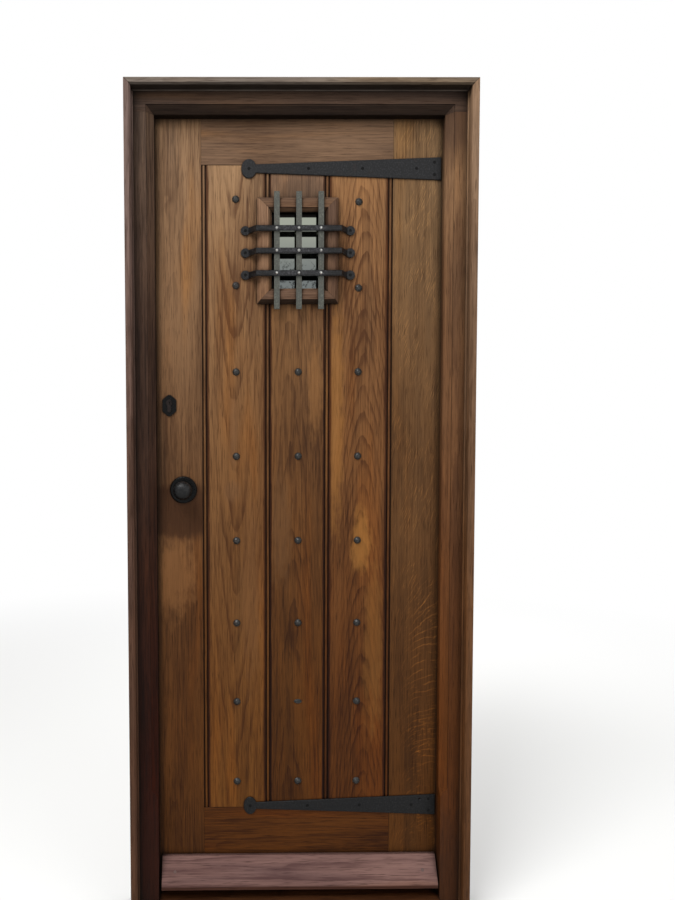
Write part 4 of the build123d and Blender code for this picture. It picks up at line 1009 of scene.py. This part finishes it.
@dataclass
class DoorFrame(Joinery):
    """Jambs, head, sill and the trim on the frame's face."""

    body: Body = Body.FRAME

    def finishes(self) -> Members:
        """Lists the frame's members.

        Returns:
            Each material slot's nodes with their finishes.
        """
        up, across = Grain.UPRIGHT, Grain.ACROSS
        # The second colour is for painted shadow in the reveal and under the head.
        damp, shadow_black = (36, 23, 15), (12, 7, 5)
        return {
            "frame_oak": {
                # Painted shade: this jamb's colours are darker than the hinge jamb's, and its painted
                # shade in hollows reaches further.
                "lock_jamb": OakFinish(
                    "oak_lock_jamb", (99, 76, 59), (57, 41, 31), up, 1.0, -0.4, JAMB_CUT,
                    foot=(124, 60, 21), head=(244, 250, 255), painted_shade=0.97, reach=75 * MM, texture=1.2,
                    stains_and_shadows=(
                        # Painted shadow: a black stripe down the jamb's chamfer and reveal.
                        StainOrShadow((-0.37, 0.0, 1.07), (0.03, 0.03, 5.0), shadow_black, 0.75, 0.2),
                        StainOrShadow((-0.43, 0.0, 0.0), (0.3, 0.3, 0.45), damp, 0.3, 0.6),
                    )),
                "hinge_jamb": OakFinish(
                    "oak_hinge_jamb", (142, 108, 76), (104, 75, 51), up, 2.0, 0.4, JAMB_CUT,
                    foot=(170, 124, 66), head=(243, 243, 246), reach=40 * MM, texture=0.9,
                    stains_and_shadows=(
                        StainOrShadow((0.43, 0.0, 0.0), (0.3, 0.3, 0.45), damp, 0.6, 0.6),
                        # Painted shadow at the jamb's top, under the head.
                        StainOrShadow((0.41, 0.0, 2.10), (0.3, 0.3, 0.20), (70, 50, 37), 0.8, 0.4),
                    )),
                # Painted shade: the head's colours are darker than the jambs', and its painted shade
                # in hollows reaches further.
                "frame_head": OakFinish(
                    "oak_head", (88, 66, 49), (53, 38, 28), across, 3.0, 2.1, JAMB_CUT,
                    painted_shade=0.98, reach=85 * MM,
                    # Painted shadow: a black band along the head's lower inner edge.
                    stains_and_shadows=(StainOrShadow((0.0, -0.002, 2.06), (5.0, 0.034, 0.08), shadow_black, 0.9, 0.2),)),
            },
            "sill_oak": {
                "sill": OakFinish(
                    "oak_sill", (120, 84, 58), (70, 44, 28), across, 4.0, 0.03,
                    Cut(0.03, 0.02, 0.006), foot=(160, 140, 120)),
            },
            "trim_oak": {
                "trim_head": OakFinish(
                    "oak_trim_head", (124, 110, 94), (88, 74, 60), across, 5.0, 2.13, STRAIGHT_CUT),
                "trim_lock_side": OakFinish(
                    "oak_trim_lock", (130, 106, 92), (84, 64, 52), up, 6.0, -0.43, STRAIGHT_CUT,
                    foot=(170, 145, 125)),
                "trim_hinge_side": OakFinish(
                    "oak_trim_hinge", (148, 116, 85), (100, 74, 50), up, 7.0, 0.43, STRAIGHT_CUT,
                    foot=(164, 140, 120)),
            },
        }


@dataclass
class BoardedLeaf(Joinery):
    """Stiles, rails, ledges, boards and weatherboard. The joints are the boards' edges in X."""

    joints: tuple[float, ...] = (-251 * MM, -73.5 * MM, 67.5 * MM, 243.5 * MM)
    bead_reach: float = 21 * MM
    bead_crest: float = 0.3

    def finishes(self) -> Members:
        """Lists the leaf's members.

        Returns:
            Each material slot's nodes with their finishes.
        """
        up, across, joints, gold = Grain.UPRIGHT, Grain.ACROSS, self.joints, (164, 112, 54)
        ledges = (
            ("upper_ledge", (150, 112, 74), (104, 72, 44), across, 21.0, 1.9, LEDGE_CUT),
            ("window_ledge", (146, 108, 70), (100, 68, 42), across, 22.0, 1.58, LEDGE_CUT),
            ("middle_ledge", (150, 110, 70), (102, 70, 42), across, 23.0, 0.98, WIDE_LEDGE_CUT),
            ("lower_ledge", (144, 104, 66), (98, 66, 40), across, 24.0, 0.55, WIDE_LEDGE_CUT),
        )
        return {
            "leaf_oak": {
                "lock_stile": OakFinish(
                    "oak_lock_stile", (150, 114, 78), (96, 68, 44), up, 8.0, -0.33,
                    Cut(0.06, 0.012, 0.006),
                    stains_and_shadows=(
                        StainOrShadow((-0.325, 0.0, 0.90), (0.07, 0.1, 0.15), (150, 102, 60), 0.35, 1.4),
                        StainOrShadow((-0.306, 0.0, 1.065), (0.12, 0.1, 0.085), (54, 31, 16), 0.82, 0.5, 0.72),
                    )),
                "hinge_stile": OakFinish(
                    "oak_hinge_stile", (142, 108, 70), (92, 66, 40), up, 9.0, 0.5, STRAIGHT_CUT,
                    figure=0.12, texture=0.85, rays=(0.75, 0.75), rays_from=joints[3]),
                "top_rail": OakFinish(
                    "oak_top_rail", (129, 98, 70), (84, 61, 43), across, 10.0, 2.0,
                    Cut(0.04, 0.02, 0.007), figure=0.2, texture=0.9),
                "bottom_rail": OakFinish(
                    "oak_bottom_rail", (144, 104, 60), (86, 56, 29), across, 11.0, 0.16,
                    Cut(0.05, 0.03, 0.008), texture=1.3),
                **{node: OakFinish("oak_" + node, *given) for node, *given in ledges},
            },
            "board_oak": {
                "board_lock_side": OakFinish(
                    "oak_board_lock", (162, 124, 84), (104, 72, 46), up, 12.0, -0.165,
                    Cut(0.04, -0.075, 0.012),
                    figure=0.6, foot=(163, 133, 82), joints=joints[:2], joint_reach=self.bead_reach,
                    crest=self.bead_crest,
                    stains_and_shadows=(
                        StainOrShadow((-0.170, 0.0, 1.27), (0.013, 0.1, 0.13), (110, 77, 50), 0.5, 0.8),
                        StainOrShadow((-0.173, 0.0, 1.115), (0.03, 0.1, 0.04), (106, 74, 48), 0.5, 0.8),
                        StainOrShadow((-0.125, 0.0, 0.84), (0.035, 0.1, 0.3), (104, 70, 42), 0.4, 1.4),
                    )),
                "board_middle_upper": OakFinish(
                    "oak_board_middle_upper", (144, 110, 80), (88, 62, 44), up, 13.0, 0.0,
                    Cut(0.05, 0.04, 0.007), joints=joints[1:3], texture=1.6,
                    stains_and_shadows=(StainOrShadow((0.0, 0.0, 1.89), (0.09, 0.1, 0.06), (66, 52, 42), 0.5),)),
                "board_middle_lower": OakFinish(
                    "oak_board_middle_lower", (142, 103, 64), (84, 56, 34), up, 13.0, -0.02,
                    Cut(0.05, 0.05, 0.008),
                    figure=0.5, foot=(160, 131, 80), joints=joints[1:3],
                    stains_and_shadows=(
                        StainOrShadow((0.042, 0.0, 1.38), (0.025, 0.1, 0.16), (156, 108, 62), 0.3, 1.4),
                        StainOrShadow((-0.045, 0.0, 1.02), (0.035, 0.1, 0.2), (98, 68, 42), 0.45, 1.4),
                    )),
                "board_hinge_side": OakFinish(
                    "oak_board_hinge", (164, 116, 70), (98, 62, 34), up, 14.0, 0.168,
                    Cut(0.03, 0.14, 0.009),
                    figure=0.6, foot=(136, 110, 70), joints=joints[2:], joint_reach=self.bead_reach,
                    crest=self.bead_crest,
                    stains_and_shadows=(
                        StainOrShadow((0.096, 0.0, 1.33), (0.03, 0.1, 0.4), gold, 0.3, 1.4),
                        StainOrShadow((0.165, 0.0, 0.98), (0.035, 0.1, 0.11), gold, 0.45, 1.4),
                        StainOrShadow((0.2, 0.0, 0.70), (0.035, 0.1, 0.30), (124, 82, 38), 0.45, 1.4),
                    )),
            },
            "weatherboard_oak": {
                "weatherboard": OakFinish(
                    "oak_weatherboard", (150, 117, 108), (102, 74, 70), across, 25.0, 0.11,
                    Cut(0.02, 0.012, 0.014), wander=0.02, figure=0.6, texture=0.6,
                    pore=(44, 24, 22), foot=(222, 218, 218), upright_shade_tint=(150, 128, 112)),
            },
        }


@dataclass
class WindowJoinery(Joinery):
    """Mouldings, lining and glazing beads of the window."""

    arris: float = 0.8 * MM
    lining_arris: float = 1.2 * MM

    def rounding(self, node: str) -> float:
        """Returns how far the arrises of a node are rubbed down."""
        return self.lining_arris if node == "window_lining" else self.arris

    def finishes(self) -> Members:
        """Lists the window's members.

        Returns:
            Its material slot's nodes with their finishes.
        """
        up, across = Grain.UPRIGHT, Grain.ACROSS
        rows = (
            ("window_moulding_top", "moulding_top",
             (114, 87, 65), (78, 55, 40), across, 15.0, 1.86),
            ("window_moulding_bottom", "moulding_bottom",
             (124, 96, 74), (84, 61, 44), across, 16.0, 1.62),
            ("window_moulding_lock_side", "moulding_lock",
             (161, 124, 91), (112, 81, 57), up, 17.0, -0.09),
            ("window_moulding_hinge_side", "moulding_hinge",
             (125, 94, 69), (82, 58, 43), up, 18.0, 0.09),
            ("window_lining", "lining", (84, 58, 40), (58, 38, 25), up, 19.0, 0.0),
            ("glazing_beads", "glazing_bead", (130, 96, 66), (92, 64, 42), up, 20.0, 0.0),
        )
        return {"window_oak": {
            node: OakFinish("oak_" + name, *given, MOULDING_CUT) for node, name, *given in rows
        }}


@dataclass
class Ironwork:
    """Straps, grille, studs, roses, knobs and escutcheons."""

    effects: Effects
    edge: float = 0.5 * MM
    worn_edge: float = 0.9 * MM
    iron: IronFinish = IronFinish(
        "blacked_iron", (32, 32, 33), (52, 53, 54), seed=1.0, rust=0.05, rough=0.42,
        specular=0.12, lit_heights=(0.0, 1.4), unlit=0.6,
    )
    upright_iron: IronFinish = IronFinish(
        "weathered_iron", (60, 61, 55), (92, 94, 85), seed=2.0, rust=0.2, rough=0.6,
    )
    bar_iron: IronFinish = IronFinish(
        "bar_iron", (28, 28, 30), (76, 76, 79), seed=3.0, rust=0.05, rough=0.34, metal=0.05,
        specular=0.26, lit_sides=(0.055, 0.075), unlit=0.35,
    )
    stud_iron: IronFinish = IronFinish(
        "stud_iron", (26, 26, 25), (60, 60, 57), seed=4.0, rust=0.1, rough=0.36, specular=0.35,
    )
    knob_iron: IronFinish = IronFinish(
        "knob_iron", (16, 16, 17), (50, 50, 50), seed=5.0, rust=0.02, rough=0.42,
        specular=0.22, lit_heights=(1.104, 1.136),
    )
    screw_iron: IronFinish = IronFinish(
        "screw_iron", (6, 6, 6), (14, 14, 14), seed=6.0, rust=0.0, rough=0.3, specular=0.12,
    )

    def build(self) -> None:
        """Makes worked copies of the forged pieces and dresses the kept nodes."""
        bars = ("grille_bar_top", "grille_bar_middle", "grille_bar_bottom")
        straps, knobs = ("strap_top", "strap_bottom"), ("outer_knob", "inner_knob")
        plates, screws = ("outer_rose", "outer_escutcheon"), ("black_screws",)
        rows = (
            (self.screw_iron, "forged_iron", self.edge, plates, screws),
            (self.knob_iron, "forged_iron", self.edge, ("inner_rose",), knobs),
            (self.iron, "forged_iron", self.edge, ("inner_escutcheon",), straps),
            (self.bar_iron, "grille_iron", self.edge, bars, ()),
            (self.upright_iron, "grille_iron", self.worn_edge, ("grille_uprights",), ()),
            (self.stud_iron, "forged_iron", self.worn_edge, ("studs",), ()),
        )
        for finish, slot, width, worked, kept in rows:
            material = finish.material(self.effects)
            for node in worked:
                hand_over(worked_copy(node, "forged_" + node, width), Body.LEAF, material)
            for node in kept:
                dress_node(node, material)


@dataclass
class Fittings:
    """Hinges, strikes, cases, bolts, cylinder, rivets, seals and glass."""

    effects: Effects
    steel: MetalFinish = MetalFinish(
        "fitting_steel", (178, 178, 176), (138, 138, 136), rough=0.38, seed=1.0
    )
    rivet: MetalFinish = MetalFinish(
        "rivet_steel", (228, 228, 224), (190, 190, 186), rough=0.3, seed=2.0
    )
    brass: MetalFinish = MetalFinish(
        "cylinder_brass", (44, 38, 36), (20, 18, 18), rough=0.3, seed=3.0
    )
    spacer: MetalFinish = MetalFinish(
        "spacer_bar", (120, 120, 118), (96, 96, 94), rough=0.5, seed=4.0
    )
    leaf_screws: MetalFinish = MetalFinish(
        "leaf_screw_steel", (178, 178, 176), (138, 138, 136), rough=0.38, seed=5.0,
        filled_below=0.2,
    )
    rubber: RubberFinish = RubberFinish("seal_rubber")
    # Painted sky reflection: light at the top, darker low down.
    glass: GlassFinish = GlassFinish("pane_glass", (160, 164, 151), (114, 119, 118))

    def build(self) -> None:
        """Dresses the kept CAD nodes."""
        rows = {
            self.steel: (
                "hinge_frame_halves", "hinge_leaf_halves", "hinge_pins", "steel_screws_frame",
                "latch_strike", "deadbolt_strike", "latch_case", "deadlock_case",
                "knob_spindle", "latch_hub", "latch_bolt", "deadbolt",
            ),
            self.leaf_screws: ("steel_screws_leaf",),
            self.rivet: ("grille_rivets",),
            self.brass: ("lock_cylinder", "cylinder_plug"),
            self.spacer: ("pane_spacer",),
            self.rubber: ("weather_seals",),
            self.glass: ("outer_pane", "inner_pane"),
        }
        for finish, nodes in rows.items():
            material = finish.material(self.effects)
            for node in nodes:
                dress_node(node, material)


@dataclass(frozen=True)
class Lamp:
    """A square soft lamp: its place and side in metres, its power in watts."""

    name: str
    place: Point
    size: float
    power: float


@dataclass
class Studio:
    """Pale floor, white surroundings, soft lamps and the camera."""

    eye: Point = (-192.866 * MM, -1907.785 * MM, 1248.166 * MM)
    yaw: float = 0.008338
    pitch: float = -0.047093
    roll: float = -0.003098
    focal_px: float = 729.46
    shift_px: Span = (106.69, 25.25)
    frame_px: float = 900.0
    sensor: float = 36.0
    clip_start: float = 0.05
    floor_side: float = 16.0
    floor_paint: tuple[float, float, float, float] = (0.82, 0.82, 0.81, 1)
    floor_rough: float = 0.9
    floor_specular: float = 0.1
    fade: Span = (1.6, 4.5)
    surround: float = 0.5
    target: Point = (0.0, 0.0, 1.1)
    lamps: tuple[Lamp, ...] = (
        Lamp("key_lamp", (-1.7, -2.4, 4.9), size=2.0, power=185.0),
        Lamp("fill_lamp", (2.8, -3.4, 2.2), size=2.6, power=40.0),
        Lamp("back_lamp", (1.5, 3.6, 3.4), size=2.6, power=110.0),
    )

    def camera(self) -> None:
        """Sets the camera at the photograph's angle."""
        data = bpy.data.cameras.new("photo_camera")
        data.sensor_fit = "AUTO"
        data.sensor_width = self.sensor
        data.lens = self.focal_px * self.sensor / self.frame_px
        data.shift_x = self.shift_px[0] / self.frame_px
        data.shift_y = self.shift_px[1] / self.frame_px
        data.clip_start = self.clip_start
        camera = bpy.data.objects.new("photo_camera", data)
        bpy.context.scene.collection.objects.link(camera)
        ahead = Vector((
            math.sin(self.yaw) * math.cos(self.pitch),
            math.cos(self.yaw) * math.cos(self.pitch),
            math.sin(self.pitch),
        ))
        level = Vector((math.cos(self.yaw), -math.sin(self.yaw), 0.0))
        above = level.cross(ahead)
        right = level * math.cos(self.roll) + above * math.sin(self.roll)
        up = above * math.cos(self.roll) - level * math.sin(self.roll)
        turn = Matrix((right, up, -ahead)).transposed().to_4x4()
        camera.matrix_world = Matrix.Translation(self.eye) @ turn
        bpy.context.scene.camera = camera

    @staticmethod
    def seen(graph: Graph) -> Socket:
        """Finds the rays that the camera, gloss and glass send.

        Args:
            graph: The graph that gets the nodes.

        Returns:
            1 for such a ray, else 0.
        """
        path = graph.add("LightPath")
        seen = graph.math("MAXIMUM", path.outputs["Is Camera Ray"], path.outputs["Is Glossy Ray"])
        return graph.math("MAXIMUM", seen, path.outputs["Is Transmission Ray"])

    @staticmethod
    def mix_shaders(graph: Graph, factor: Socket, first: Node, second: Node) -> Socket:
        """Mixes two shaders.

        Args:
            graph: The graph that gets the node.
            factor: How much of the second shows.
            first: The shader underneath.
            second: The shader on top.

        Returns:
            The mixed shader.
        """
        node = graph.add("MixShader")
        for socket, value in zip(node.inputs, (factor, first.outputs[0], second.outputs[0])):
            graph.feed(socket, value)
        return node.outputs[0]

    def world(self) -> None:
        """Lights from all round, and shows white to the camera, to gloss and through glass."""
        world = bpy.data.worlds.new("studio_world")
        bpy.context.scene.world = world
        world.use_nodes = True
        world.node_tree.nodes.clear()
        graph = Graph(world.node_tree)
        lights = []
        for strength in (self.surround, 1.0):
            light = graph.add("Background")
            light.inputs["Color"].default_value = (1, 1, 1, 1)
            light.inputs["Strength"].default_value = strength
            lights.append(light)
        mixed = self.mix_shaders(graph, self.seen(graph), *lights)
        graph.feed(graph.add("OutputWorld").inputs["Surface"], mixed)

    def light(self, lamp: Lamp) -> None:
        """Adds a lamp that faces the target.

        Args:
            lamp: What to add.
        """
        data = bpy.data.lights.new(lamp.name, "AREA")
        data.size = lamp.size
        data.energy = lamp.power
        light = bpy.data.objects.new(lamp.name, data)
        bpy.context.scene.collection.objects.link(light)
        light.location = lamp.place
        ahead = Vector(self.target) - Vector(lamp.place)
        light.rotation_euler = ahead.to_track_quat("-Z", "Y").to_euler()

    def floor(self) -> None:
        """Lays the floor, whose far parts fade to white."""
        deselect_all()
        bpy.ops.mesh.primitive_plane_add(size=self.floor_side, location=(0, 0, 0))
        floor = bpy.context.object
        floor.name = "studio_floor"
        material = bpy.data.materials.new("floor_paint")
        material.use_nodes = True
        shader = material.node_tree.nodes["Principled BSDF"]
        shader.inputs["Base Color"].default_value = self.floor_paint
        shader.inputs["Roughness"].default_value = self.floor_rough
        shader.inputs["Specular IOR Level"].default_value = self.floor_specular
        graph = Graph(material.node_tree)
        away = graph.vector("LENGTH", graph.add("TexCoord").outputs["Object"])
        white = graph.math("MULTIPLY", graph.remap(away, *self.fade), self.seen(graph))
        mixed = self.mix_shaders(graph, white, shader, graph.add("Emission"))
        graph.feed(material.node_tree.nodes["Material Output"].inputs["Surface"], mixed)
        floor.data.materials.append(material)

    def build(self) -> None:
        """Sets up the studio."""
        self.camera()
        self.world()
        self.floor()
        for lamp in self.lamps:
            self.light(lamp)
        bpy.context.scene.view_settings.view_transform = "Standard"


def main() -> None:
    """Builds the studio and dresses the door."""
    logging.basicConfig(level=logging.INFO, format="%(name)s: %(message)s")
    effects = Effects()
    Studio().build()
    for part in (DoorFrame, BoardedLeaf, WindowJoinery, Ironwork, Fittings):
        part(effects).build()


if __name__ == "__main__":
    main()
